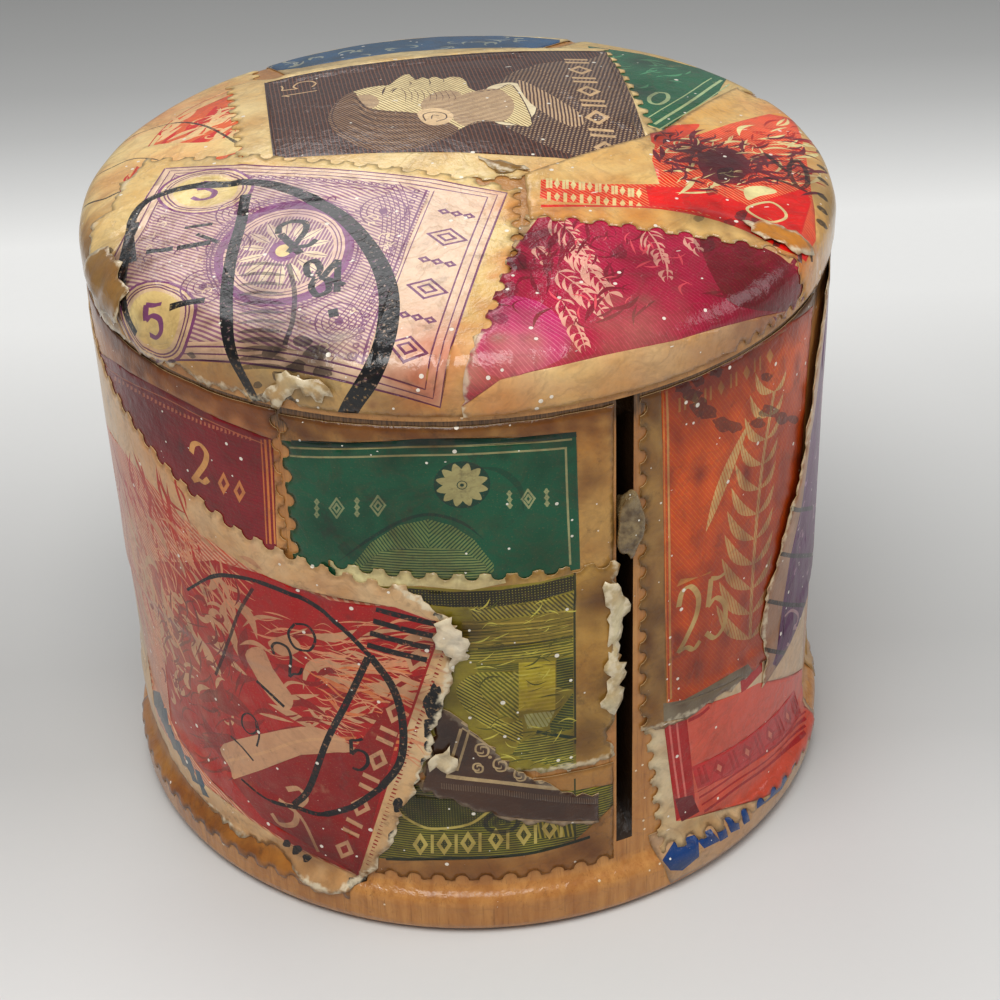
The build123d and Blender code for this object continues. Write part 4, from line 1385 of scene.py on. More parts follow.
def art_rose(b):
    ink = (176, 30, 52)
    field = b.style((222, 112, 96), (228, 140, 116), 0.4, 0.4, 1.3)
    dark = b.style(ink)
    b.area([(665, 715), (760, 684), (822, 650), (822, 756), (760, 800), (677, 822)], field)
    b.area([(664, 716), (687, 708), (697, 806), (677, 822)], dark)
    for x0, x1 in ((670, 681), (677.5, 688)):
        b.line([(x0, 716), ((x0 + x1) / 2 + 0.5, 770), (x1 + 1, 812)], 0.16, b.style((224, 132, 124)), 3)
    tab = b.quad([(693, 768), (796, 690), (802, 714), (699, 790)])
    b.add(mapped(tab, [(0, 0), (1, 0), (1, 1), (0, 1)]),
          b.style((198, 72, 72), (214, 104, 96), 0.5, 0.3, 1.2))
    for i in range(9):
        x = (i + 0.5) / 9
        if i % 2:
            b.add(mapped(tab, [(x - 0.045, 0.5), (x, 0.12), (x + 0.045, 0.5), (x, 0.88)]), dark)
            b.add(mapped(tab, [(x - 0.02, 0.5), (x, 0.32), (x + 0.02, 0.5), (x, 0.68)]),
                  b.style((222, 140, 120)))
        else:
            b.add(mapped(tab, [(x - 0.028, 0.12), (x - 0.008, 0.12), (x - 0.008, 0.88), (x - 0.028, 0.88)]),
                  dark)
            b.add(mapped(tab, [(x + 0.008, 0.12), (x + 0.028, 0.12), (x + 0.028, 0.88), (x + 0.008, 0.88)]),
                  dark)
    for d, w in ((3, 0.1), (9, 0.2), (16, 0.14), (22, 0.26)):
        b.line([(698 + d * 0.3, 790 + d), (740, 764 + d), (775, 738 + d), (806, 708 + d * 1.1)], w, dark, 4)
    b.area([(741, 672), (752, 668), (764, 660), (764, 672), (748, 690), (743, 694)], dark)
    b.area([(676, 800), (694, 796), (700, 812), (682, 822)], b.style((110, 16, 36)))
    b.line([(690, 722), (702, 716), (711, 708)], 0.3, dark, 3)


def art_blue_base(b):
    ink = b.style((46, 74, 138), (66, 96, 154), 0.2, 0.24, 1.2)
    for pts in ([(664, 862), (676, 842), (697, 836), (701, 858), (684, 872), (672, 872)],
                [(695, 838), (712, 830), (722, 842), (706, 850)],
                [(712, 822), (722, 818), (730, 838), (722, 843)],
                [(724, 816), (734, 812), (742, 830), (733, 834)],
                [(738, 806), (744, 803), (752, 822), (746, 826)],
                [(746, 800), (762, 786), (782, 764), (804, 726), (806, 744), (784, 790), (756, 812)]):
        b.area(pts, ink)


def art_lid_red(b):
    field = b.style((222, 112, 80), (232, 158, 112), 0.7, 0.3, 1.0)
    strong = b.style((206, 66, 52))
    b.area([(106, 250), (128, 176), (150, 146), (178, 116), (230, 93), (262, 88), (266, 150), (210, 160),
            (150, 170), (120, 240)], field)
    b.line([(100, 262), (118, 200), (136, 166), (154, 136), (184, 110), (228, 90), (300, 74), (420, 55)], 0.1,
           b.style((190, 70, 52)), 4)
    flames(b, [(130, 150), (262, 90), (262, 150), (120, 210)], 80, strong, 41, (1.2, 4.0), 0.55, 0.4, 0.1)
    flames(b, [(150, 130), (262, 96), (262, 140), (150, 160)], 34, b.style((240, 206, 160)), 42, (1.2, 3.4),
           0.5, 0.5, 0.14)
    scrolls(b, [(180, 110), (255, 92), (262, 135), (185, 135)], 14, b.style((238, 196, 150)), 0.3, 43, 2.6)
    flames(b, [(112, 180), (150, 176), (132, 230), (106, 240)], 24, strong, 45, (1.0, 3.0), 0.9, 0.3, 0.14)
    b.area([(130, 152), (160, 142), (206, 140), (240, 132), (236, 150), (180, 160), (140, 166)],
           b.style((240, 214, 160)), 4)
    postmark(b, [(112, 150), (140, 131), (175, 121), (205, 124), (232, 138), (246, 146)],
             [0.1] * 12 + [0.2] * 12 + [0.28] * 7, 0.9)
    postmark(b, [(86, 182), (105, 169), (130, 158), (150, 157), (164, 160)], 0.13, 0.9, taper=0.2)
    postmark(b, [(72, 210), (98, 198), (118, 190), (134, 186)], 0.2, 0.9, taper=0.2)


def art_lid_blue(b):
    ink = b.style((52, 88, 124), (96, 122, 140), 0.4, 0.4, 1.0)
    b.area([(244, 66), (300, 52), (360, 40), (440, 33), (500, 33), (560, 38), (560, 46), (480, 46), (400, 50),
            (300, 66)], ink)
    scrolls(b, [(260, 60), (540, 34), (540, 46), (270, 66)], 26, b.style((168, 176, 170)), 0.3, 51, 3.0)


def art_lid_green(b):
    ink = b.style((16, 92, 62), (34, 112, 78), 0.3, 0.28, 1.2)
    b.area([(588, 44), (640, 52), (700, 66), (728, 76), (718, 92), (664, 128), (640, 120), (600, 70)], ink)
    pale = b.style((176, 194, 150))
    b.line([(655, 122), (690, 100), (722, 78)], 0.22, pale, 3)
    b.line([(648, 116), (684, 94), (712, 76)], 0.1, pale, 3)
    b.line([(660, 127), (700, 103), (730, 82)], 0.1, pale, 3)
    numeral(b, "0", b.quad([(648, 92), (668, 88), (670, 100), (650, 104)]), 0.28, pale, 0.2)
    flames(b, [(600, 52), (690, 66), (680, 90), (620, 90)], 20, b.style((86, 150, 110)), 52, (0.8, 2.2), 0.3,
           0.6, 0.1)


def art_lilac(b):
    line = b.style((124, 82, 112))
    wash = b.style((150, 108, 132), (222, 194, 178), 0.6, 0.24, 0.66)
    wash2 = b.style((146, 104, 128), (224, 198, 180), -0.7, 0.22, 0.6)
    violet = b.style((134, 84, 124), (160, 112, 142), 0.4, 0.2, 1.1)
    cream = b.style((236, 214, 158), cover=0.92)
    at = b.quad([(165, 168), (507, 191), (440, 409), (88, 388)])

    def seg(pts, w, style=line):
        path = mapped(at, pts)
        path = np.concatenate([np.linspace(p, q, 6)[:-1] for p, q in zip(path, path[1:])] + [path[-1:]])
        b.add(stroke(path, w), style)

    def arch(cx, cy, rx, ry, w, style=line, a0=0.0, a1=6.2832, n=40):
        t = np.linspace(a0, a1, n)
        seg(list(zip(cx + rx * np.cos(t), cy + ry * np.sin(t))), w, style)

    def blob(cx, cy, rx, ry, style):
        t = np.linspace(0, 2 * math.pi, 28, endpoint=False)
        b.add(mapped(at, list(zip(cx + rx * np.cos(t), cy + ry * np.sin(t)))), style)

    ground = b.style((158, 118, 138), (228, 202, 184), 0.5, 0.26, 0.5)
    b.add(mapped(at, [(0, 0), (0.2, 0), (0.4, 0), (0.6, 0), (0.8, 0), (1, 0), (1, 0.25), (1, 0.5), (1, 0.75),
                      (1, 1), (0.5, 1), (0, 1), (0, 0.5)]), b.style((236, 208, 188), cover=0.85))
    b.add(mapped(at, [(0.05, 0.06), (0.3, 0.06), (0.6, 0.06), (0.80, 0.06), (0.80, 0.5), (0.80, 0.94),
                      (0.4, 0.94), (0.05, 0.94)]), ground)
    for d, w in ((0.0, 0.13), (0.022, 0.08), (0.045, 0.1)):
        seg([(d, d), (0.5, d), (1 - d, d), (1 - d, 0.5), (1 - d, 1 - d), (0.5, 1 - d), (d, 1 - d), (d, d)], w)
    seg([(0.06, 0.09), (0.78, 0.09)], 0.09)
    seg([(0.06, 0.11), (0.78, 0.11)], 0.06)
    seg([(0.79, 0.06), (0.79, 0.5), (0.79, 0.94)], 0.13)
    seg([(0.81, 0.06), (0.81, 0.5), (0.81, 0.94)], 0.07)
    beads(b, mapped(at, [(0.765, y) for y in np.linspace(0.06, 0.94, 30)]), 0.22, 0.62, line, ground)
    beads(b, mapped(at, [(x, 0.075) for x in np.linspace(0.28, 0.7, 30)]), 0.16, 0.5, line, ground)
    frets(b, lambda x, y: at(0.835 + 0.115 * y, 0.10 + 0.82 * x), 6, line, 0.17)
    for cx, cy, digit in ((0.17, 0.17, "5"), (0.17, 0.86, "5")):
        blob(cx, cy, 0.145, 0.15, violet)
        blob(cx, cy, 0.135, 0.14, b.style((234, 208, 178), cover=0.9))
        for q in (0.94, 0.86):
            arch(cx, cy, 0.13 * q, 0.135 * q, 0.1)
        blob(cx, cy, 0.095, 0.1, cream)
        numeral(b, digit, lambda x, y, cx=cx, cy=cy: at(cx - 0.035 + 0.07 * x, cy - 0.055 + 0.11 * y), 0.42,
                violet)
    blob(0.48, 0.5, 0.22, 0.33, wash)
    blob(0.48, 0.5, 0.19, 0.285, violet)
    blob(0.48, 0.5, 0.165, 0.245, b.style((228, 198, 184), cover=0.9))
    for q in (0.21, 0.2, 0.175, 0.155, 0.145):
        arch(0.48, 0.5, q, q * 1.49, 0.08 + 0.04 * (q == 0.2))
    blob(0.48, 0.5, 0.135, 0.2, wash2)
    for i in range(14):
        a = 2 * math.pi * i / 14
        p0 = at(0.48 + 0.05 * math.cos(a), 0.5 + 0.075 * math.sin(a))
        p1 = at(0.48 + 0.128 * math.cos(a), 0.5 + 0.19 * math.sin(a))
        b.add(leaf(p0, p1, 0.3), b.style((238, 218, 190)))
        b.add(stroke(np.array([p0, p1]), 0.06), line)
    blob(0.48, 0.5, 0.04, 0.06, violet)
    blob(0.48, 0.5, 0.022, 0.034, cream)
    for cx, cy in ((0.70, 0.22), (0.70, 0.80), (0.32, 0.5), (0.30, 0.3), (0.30, 0.72)):
        for q, w in ((0.062, 0.1), (0.045, 0.07), (0.026, 0.07)):
            arch(cx, cy, q, q * 1.4, w)
        blob(cx, cy, 0.012, 0.017, line)
    for k in range(7):
        arch(0.60, 0.5, 0.13 + 0.012 * k, 0.42 + 0.02 * k, 0.06, line, -1.0, 1.0, 24)
    # Small curls fill the ground between the medallion and the two discs of value
    taken = ((0.48, 0.5, 0.22, 0.33), (0.17, 0.17, 0.15, 0.16), (0.17, 0.86, 0.15, 0.16))
    g = np.random.default_rng(61)
    for _ in range(70):
        x, y = g.uniform(0.06, 0.76), g.uniform(0.13, 0.92)
        if any(((x - cx) / rx) ** 2 + ((y - cy) / ry) ** 2 < 1 for cx, cy, rx, ry in taken):
            continue
        c = at(x, y)
        s = g.uniform(0.25, 0.5)
        a = g.uniform(0, 6.28)
        path = [c + s * q * np.array([math.cos(a + t), math.sin(a + t)])
                for q, t in zip((0.1, 0.35, 0.6, 0.85, 1.0), (0, 1.3, 2.5, 3.6, 4.8))]
        b.add(stroke(curve(path, 3), 0.09), b.style((238, 216, 190)) if g.random() < 0.5 else line)
    bars = b.style(None, mark=1.0)
    ring = [(132, 262), (130, 228), (142, 205), (166, 193), (196, 186), (236, 182), (270, 184), (306, 196),
            (340, 214), (364, 238), (382, 268), (389, 300), (384, 340), (372, 372), (352, 405), (344, 420)]
    width = np.interp(np.linspace(0, 1, 76), [0, 0.15, 0.35, 0.6, 0.75, 1.0],
                      [0.6, 0.62, 0.75, 1.0, 1.25, 1.15])
    postmark(b, ring, width[: 5 * 15 + 1], 1.0, 5)
    postmark(b, [(134, 222), (126, 250), (122, 290), (128, 320), (136, 334)], 0.66, 1.0, 4)
    postmark(b, [(246, 194), (240, 222), (232, 250), (226, 290), (226, 330), (236, 368), (252, 398),
                 (258, 408)],
             np.interp(np.linspace(0, 1, 36), [0, 0.5, 1], [0.72, 0.8, 0.6]), 1.0, 5)
    postmark(b, [(288, 262), (294, 290), (292, 320), (284, 344)], 0.3, 0.8, 4)
    for i in range(12):
        y = 262 + i * 9.5
        postmark(b, [(236, y + 3), (260, y), (286, y + 2)], 0.3, 0.62, 3, 0.2)
    for a0, a1, w in (((146, 252), (172, 246), 0.5), ((176, 246), (210, 240), 0.5),
                      ((168, 306), (204, 298), 0.5), ((184, 226), (212, 222), 0.3),
                      ((196, 232), (218, 240), 0.3), ((328, 312), (338, 310), 0.7),
                      ((280, 232), (300, 252), 0.5)):
        b.line([a0, a1], w, bars, 0)
    for digit, box in (("2", [(272, 226), (306, 214), (318, 240), (286, 252)]),
                       ("8", [(302, 264), (318, 256), (332, 288), (314, 296)]),
                       ("4", [(322, 250), (346, 262), (344, 292), (322, 286)])):
        numeral(b, digit, b.quad(box), 0.42, bars, 0.15)
    g = np.random.default_rng(63)
    blots(b, g, ((302, 340, 12), (316, 352, 13), (296, 366, 11), (322, 372, 12), (308, 384, 9), (270, 352, 9),
                 (276, 376, 8), (256, 386, 7),
                    (104, 262, 6), (112, 276, 6), (110, 250, 5), (120, 290, 5), (190, 356, 5), (170, 362, 4),
                    (262, 400, 8), (288, 402, 8)), b.style(None, mark=0.7), (0.4, 0.8))


def art_portrait(b):
    ground = b.style((44, 20, 16), (104, 66, 50), 2.87, 0.27, 0.74)
    at = b.quad([(264, 82), (606, 51), (651, 166), (273, 157)])
    frame_pts = [(0, 0), (0.25, 0), (0.5, 0), (0.75, 0), (1, 0), (1, 0.5), (1, 1), (0.75, 1), (0.5, 1),
                 (0.25, 1), (0, 1), (0, 0.5)]
    b.add(mapped(at, frame_pts), ground)
    solid = b.style((50, 30, 30))
    for pts in ([(0, 0), (1, 0), (1, 0.02), (0, 0.02)], [(0, 0), (0.006, 0), (0.006, 1), (0, 1)],
                [(0.992, 0), (1, 0), (1, 1), (0.992, 1)]):
        b.add(mapped(at, pts), solid)
    # The head lies on its back: x runs from its crown to the shoulders, y from the face to the nape
    x0, y0, wide, tall = 0.13, 0.16, 0.56, 0.84

    def spot(x, y):
        return at(x0 + wide * x, y0 + tall * y)

    def place(pts, n=5, closed=True):
        return curve(np.array([spot(x, y) for x, y in pts]), n, closed)

    skin_tone = b.style((120, 84, 60), (236, 208, 164), 0.2, 0.24, 0.3)
    shade = b.style((96, 68, 56), (208, 182, 148), 0.9, 0.22, 0.45)
    deep = b.style((74, 50, 44), (176, 146, 118), 0.2, 0.2, 0.66, 1.0)
    coat = b.style((56, 36, 34), (172, 144, 116), 1.0, 0.27, 0.55, 1.0)
    hair = b.style((66, 42, 34), (140, 110, 84), 0.2, 0.2, 0.6)
    edge = b.style((58, 36, 34))
    face = [(0.10, 0.42), (0.16, 0.27), (0.26, 0.20), (0.34, 0.185), (0.385, 0.19), (0.42, 0.13),
            (0.465, 0.06), (0.50, 0.05), (0.515, 0.10),
            (0.53, 0.145), (0.555, 0.12), (0.575, 0.125), (0.59, 0.15), (0.61, 0.125), (0.635, 0.13),
            (0.66, 0.165), (0.70, 0.14),
            (0.745, 0.15), (0.775, 0.21), (0.78, 0.30), (0.82, 0.36), (0.92, 0.34), (1.0, 0.30), (1.04, 0.72),
            (0.90, 0.70), (0.78, 0.70), (0.66, 0.80), (0.48, 0.92), (0.28, 0.92), (0.13, 0.78), (0.08, 0.60)]
    shoulders = [(0.90, 0.36), (1.02, 0.12), (1.20, 0.02), (1.45, -0.06), (1.56, -0.1), (1.56, 1.0),
                 (1.40, 1.0), (1.22, 0.98), (1.02, 0.86), (0.88, 0.68)]
    b.add(place(shoulders, 4), coat)
    b.add(place([(0.86, 0.34), (0.96, 0.26), (1.04, 0.30), (1.08, 0.56), (0.98, 0.72), (0.86, 0.70),
                 (0.90, 0.5)], 4), b.style((226, 210, 180), (200, 178, 146), 0.3, 0.3, 1.3))
    b.add(place([(1.03, 0.24), (1.10, 0.30), (1.30, 0.62), (1.22, 0.72), (1.06, 0.50)], 4),
          b.style((66, 44, 40), (188, 160, 130), -0.4, 0.24, 0.5))
    b.add(place(face, 4), skin_tone)
    b.add(place([(0.80, 0.36), (0.92, 0.34), (0.98, 0.5), (0.92, 0.68), (0.80, 0.70), (0.70, 0.74),
                 (0.66, 0.6), (0.72, 0.42)], 4), shade)
    b.add(place([(0.60, 0.36), (0.70, 0.34), (0.74, 0.44), (0.68, 0.58), (0.58, 0.62), (0.52, 0.5)], 4),
          shade)
    b.add(place([(0.16, 0.40), (0.22, 0.30), (0.30, 0.32), (0.32, 0.44), (0.24, 0.52), (0.16, 0.52)], 4),
          shade)
    # Cropped hair over the crown and the back of the head
    b.add(place([(0.06, 0.60), (0.09, 0.42), (0.15, 0.28), (0.21, 0.24), (0.23, 0.36), (0.27, 0.48),
                 (0.36, 0.54), (0.47, 0.58), (0.60, 0.66),
                 (0.68, 0.78), (0.56, 0.90), (0.42, 0.97), (0.24, 0.96), (0.11, 0.82)], 4), hair)
    upper = curve(np.array([(0.09, 0.42), (0.20, 0.27), (0.27, 0.47), (0.47, 0.57), (0.66, 0.68)]), 6)
    lower = curve(np.array([(0.075, 0.66), (0.14, 0.86), (0.30, 0.96), (0.50, 0.92), (0.67, 0.79)]), 6)
    for i in range(13):
        f = 0.06 + i * 0.072
        path = np.array([spot(*q) for q in upper * (1 - f) + lower * f])
        b.add(stroke(path[2 + i % 3:-2 - i % 2], 0.06, taper=0.25),
              b.style((150, 122, 96) if i % 2 else (34, 22, 22)))
    b.add(place([(0.50, 0.58), (0.56, 0.54), (0.63, 0.56), (0.67, 0.63), (0.63, 0.71), (0.56, 0.73),
                 (0.51, 0.68)], 4), b.style((212, 186, 152), (170, 138, 110), 0.5, 0.3, 1.2))
    # The ear; a closed, quiet eye, the brow, the wing of the nose and the mouth: line, width, taper
    for pts, width, taper in (
        ([(0.53, 0.68), (0.525, 0.61), (0.58, 0.585), (0.63, 0.61), (0.63, 0.66), (0.58, 0.69)], 0.09, 0),
        ([(0.56, 0.66), (0.57, 0.62), (0.60, 0.63)], 0.08, 0),
        ([(0.395, 0.31), (0.41, 0.27), (0.43, 0.245)], 0.13, 0.3),
        ([(0.385, 0.30), (0.40, 0.265), (0.415, 0.24)], 0.07, 0.3),
        ([(0.345, 0.33), (0.355, 0.27), (0.37, 0.215)], 0.15, 0.35),
        ([(0.49, 0.17), (0.50, 0.20), (0.485, 0.225)], 0.08, 0.2),
        ([(0.59, 0.15), (0.595, 0.20), (0.588, 0.25)], 0.08, 0.3),
        ([(0.66, 0.165), (0.665, 0.19), (0.66, 0.215)], 0.06, 0.3),
    ):
        b.add(stroke(place(pts, 4, False), width, taper=taper), edge)
    b.add(stroke(curve(np.array([spot(x, y) for x, y in face]), 4, True), 0.08, True), edge)
    for i in range(9):
        x = 0.44 + 0.03 * i
        b.add(stroke(place([(x, 0.24 + 0.01 * i), (x + 0.02, 0.34 + 0.01 * i), (x + 0.01, 0.46)], 4, False),
                     0.05, taper=0.3), deep)
    # A plain numeral where the value stood, and a row of ornament where the name stood
    num = b.style((196, 166, 132))
    numeral(b, "1", lambda x, y: at(0.045 + 0.10 * y, 0.30 - 0.075 * x), 0.14, num, 0.1)
    numeral(b, "5", lambda x, y: at(0.045 + 0.10 * y, 0.20 - 0.11 * x), 0.14, num, 0.1)
    tab = b.style((188, 160, 128))
    for i in range(8):
        y = 0.10 + i * 0.108
        if i % 2:
            b.add(mapped(at, [(0.86, y + 0.05), (0.895, y), (0.93, y + 0.05), (0.895, y + 0.1)]), tab)
            b.add(mapped(at, [(0.875, y + 0.05), (0.895, y + 0.022), (0.915, y + 0.05), (0.895, y + 0.078)]),
                  coat)
        else:
            for d in (0.02, 0.06):
                b.add(mapped(at, [(0.862, y + d), (0.93, y + d), (0.93, y + d + 0.018),
                                  (0.862, y + d + 0.018)]), tab)


def art_crimson(b):
    ink = (152, 28, 66)
    field = b.style(ink, (182, 66, 92), 0.4, 0.24, 0.86)
    dark = b.style((112, 14, 40), (146, 34, 62), 0.4, 0.24, 0.9)
    pale = b.style((232, 168, 152), (214, 120, 124), 0.8, 0.26, 1.0)
    b.area([(538, 216), (580, 212), (620, 214), (680, 222), (740, 236), (790, 262), (812, 278), (806, 312),
            (745, 322), (680, 340), (620, 352),
            (560, 366), (500, 380), (440, 424), (462, 380), (480, 330), (510, 255)], field)
    b.area([(700, 232), (740, 238), (790, 262), (806, 290), (790, 312), (740, 306), (716, 280)], dark, 3)
    b.area([(500, 300), (540, 300), (570, 330), (560, 360), (500, 378), (476, 350)],
           b.style((170, 62, 100), (196, 104, 130), 0.4, 0.24, 0.8), 3)
    g = np.random.default_rng(71)

    def frond(root, tip, n, size, lean, half=0.1):
        a, t = np.array(root, float), np.array(tip, float)
        d = t - a
        heading = math.atan2(d[1], d[0])
        b.line([root, tuple(a + d * 0.5 + np.array([3.0, -2.0])), tip], 0.12, pale, 4, 0.3)
        for i in range(n):
            f = (i + g.uniform(0.0, 0.6)) / n
            c = a + d * f
            reach = size * (1 - 0.5 * f) * g.uniform(0.75, 1.15)
            for side in (1, -1):
                turn = heading + side * lean * g.uniform(0.8, 1.25)
                q = c + reach * np.array([math.cos(turn), math.sin(turn)])
                b.add(leaf(on_lid(*c), on_lid(*q), half * g.uniform(0.7, 1.4), -side * 0.18), pale)

    frond((552, 214), (592, 262), 9, 22, 0.6)
    frond((562, 240), (612, 294), 11, 26, 0.5, 0.13)
    frond((556, 268), (606, 312), 8, 22, 0.55)
    frond((560, 296), (586, 350), 7, 18, 0.6)
    frond((646, 226), (664, 262), 6, 17, 0.7)
    frond((660, 250), (668, 278), 4, 12, 0.6)
    frond((684, 234), (700, 250), 3, 16, 0.3)
    frond((536, 244), (548, 262), 3, 12, 0.5)
    flames(b, [(520, 226), (640, 222), (640, 330), (500, 340)], 60, b.style((118, 16, 48)), 73, (0.8, 2.6),
           0.9, 0.5, 0.08)
    flames(b, [(560, 226), (700, 226), (700, 300), (560, 330)], 26, b.style((206, 96, 104)), 74, (0.5, 1.6),
           0.9, 0.6, 0.08)
    flames(b, [(700, 240), (800, 270), (790, 320), (690, 330)], 40, b.style((126, 22, 52)), 75, (0.6, 2.0),
           0.3, 0.5, 0.08)
    m = b.style(None, mark=0.35)
    blots(b, g, ((530, 240, 12), (518, 262, 12), (510, 290, 10), (545, 232, 8), (500, 318, 8), (705, 240, 14),
                 (620, 250, 10)), m, (0.5, 1.0))


def art_pink(b):
    red, deep = (204, 62, 54), (158, 34, 40)
    field = b.style((206, 70, 60), (232, 150, 112), 0.35, 0.24, 0.72)
    solid = b.style(red, (222, 104, 84), 0.35, 0.3, 1.1)
    pale = b.style((238, 206, 160))
    b.area([(656, 140), (700, 132), (730, 122), (770, 112), (796, 120), (806, 150), (812, 190), (818, 240),
            (800, 262), (740, 220),
            (700, 214), (640, 206), (560, 200), (540, 196), (541, 178), (600, 182), (660, 182), (652, 160)],
            field)
    b.area([(646, 184), (700, 186), (740, 200), (780, 224), (812, 246), (806, 262), (782, 250), (740, 228),
            (700, 212), (650, 204)], solid)
    b.area([(745, 205), (770, 216), (800, 240), (812, 200), (806, 186)], solid)
    flames(b, [(656, 140), (800, 112), (812, 190), (680, 190)], 60, b.style(deep), 81, (0.8, 2.6), 0.2, 0.35,
           0.08)
    flames(b, [(652, 140), (800, 116), (812, 200), (650, 196)], 60, pale, 82, (0.8, 3.0), 0.25, 0.4, 0.07)
    b.area([(652, 128), (680, 124), (700, 122), (690, 132), (656, 146)], b.style((214, 92, 78)), 3)
    for i in range(12):
        x = 549 + i * 8.2
        y = 181 + 0.4 * i + 0.05 * i * i
        if i % 2:
            b.area([(x - 3, y), (x, y - 5), (x + 3, y), (x, y + 5)], pale)
            b.area([(x - 3, y + 13), (x, y + 9), (x + 3, y + 13), (x, y + 18)], pale)
        else:
            b.line([(x - 1.5, y - 4), (x - 1.5, y + 5)], 0.18, pale, 0)
            b.line([(x + 2, y - 4), (x + 2, y + 5)], 0.18, pale, 0)
            b.line([(x, y + 9), (x, y + 18)], 0.22, pale, 0)
    strip_red = b.style((196, 64, 54), (222, 128, 96), 0.3, 0.3, 1.0)
    b.line([(541, 204), (600, 205), (660, 208), (720, 220), (770, 240)], 0.3, strip_red, 4)
    dark = b.style((98, 34, 44), (132, 54, 58), 0.5, 0.2, 1.0)
    b.area([(706, 150), (722, 145), (740, 150), (750, 162), (744, 176), (724, 182), (708, 176), (698, 162)],
           dark, 3)
    smears = [([(650, 128), (720, 136), (712, 160), (650, 150)], 46),
              ([(684, 140), (760, 144), (764, 186), (690, 190)], 80),
              ([(650, 150), (710, 160), (700, 184), (652, 176)], 30),
              ([(760, 130), (812, 140), (816, 200), (770, 190)], 30)]
    for k, (corners, count) in enumerate(smears):
        flames(b, corners, count, dark, 84 + k, (0.7, 2.4), 0.15, 0.5, 0.1)
    flames(b, [(690, 140), (760, 144), (764, 186), (690, 190)], 22, pale, 90, (0.4, 1.3), 0.15, 0.6, 0.07)
    m = b.style(None, mark=0.85)
    g = np.random.default_rng(83)
    for x, y, r, w in ((726, 172, 11, 0.6), (712, 190, 7, 0.5), (742, 214, 9, 0.7), (756, 222, 8, 0.6),
                       (700, 218, 6, 0.5), (730, 222, 6, 0.5)):
        blots(b, g, [(x, y, r)], b.style(None, mark=w), (0.4, 0.9))
    b.line([(764, 150), (776, 160), (790, 172)], 0.36, m, 3, 0.2)
    b.add(stroke(curve(b.px([(790, 164), (798, 158), (806, 168), (808, 182), (800, 186), (792, 176)]), 4,
                       True), 0.34, True), m)
    b.line([(764, 175), (784, 180), (808, 190)], 0.26, m, 3)
    for y in (150, 163, 176, 192, 205, 219):
        b.line([(818, y), (824, y + 3), (830, y + 9)], 0.5, m, 3, 0.2)
    b.line([(780, 232), (776, 246)], 0.4, m, 0)
    b.line([(796, 236), (800, 262)], 0.36, m, 0)
    b.line([(806, 240), (812, 262)], 0.3, m, 0)
    target = b.px([(748, 206), (770, 200), (784, 208), (786, 216), (772, 220), (756, 214)])
    b.add(stroke(curve(target, 5, True), 0.2, True), pale)
    b.area([(756, 207), (768, 204), (776, 209), (770, 214), (760, 213)], solid, 3)
    b.area([(745, 186), (764, 184), (778, 190), (760, 194), (748, 198)], pale, 3)


ARTS = {
    "wall_green": art_green, "wall_olive": art_olive, "wall_brown": art_brown, "wall_moss": art_moss,
    "wall_red": art_red, "wall_maroon": art_maroon, "wall_blue_scrap": art_blue_scrap,
    "wall_orange": art_orange,
    "wall_violet": art_violet, "wall_rose": art_rose, "wall_blue_base": art_blue_base, "lid_red": art_lid_red,
    "lid_blue": art_lid_blue, "lid_green": art_lid_green, "lid_lilac": art_lilac,
    "lid_portrait": art_portrait,
    "lid_crimson": art_crimson, "lid_pink": art_pink,
}


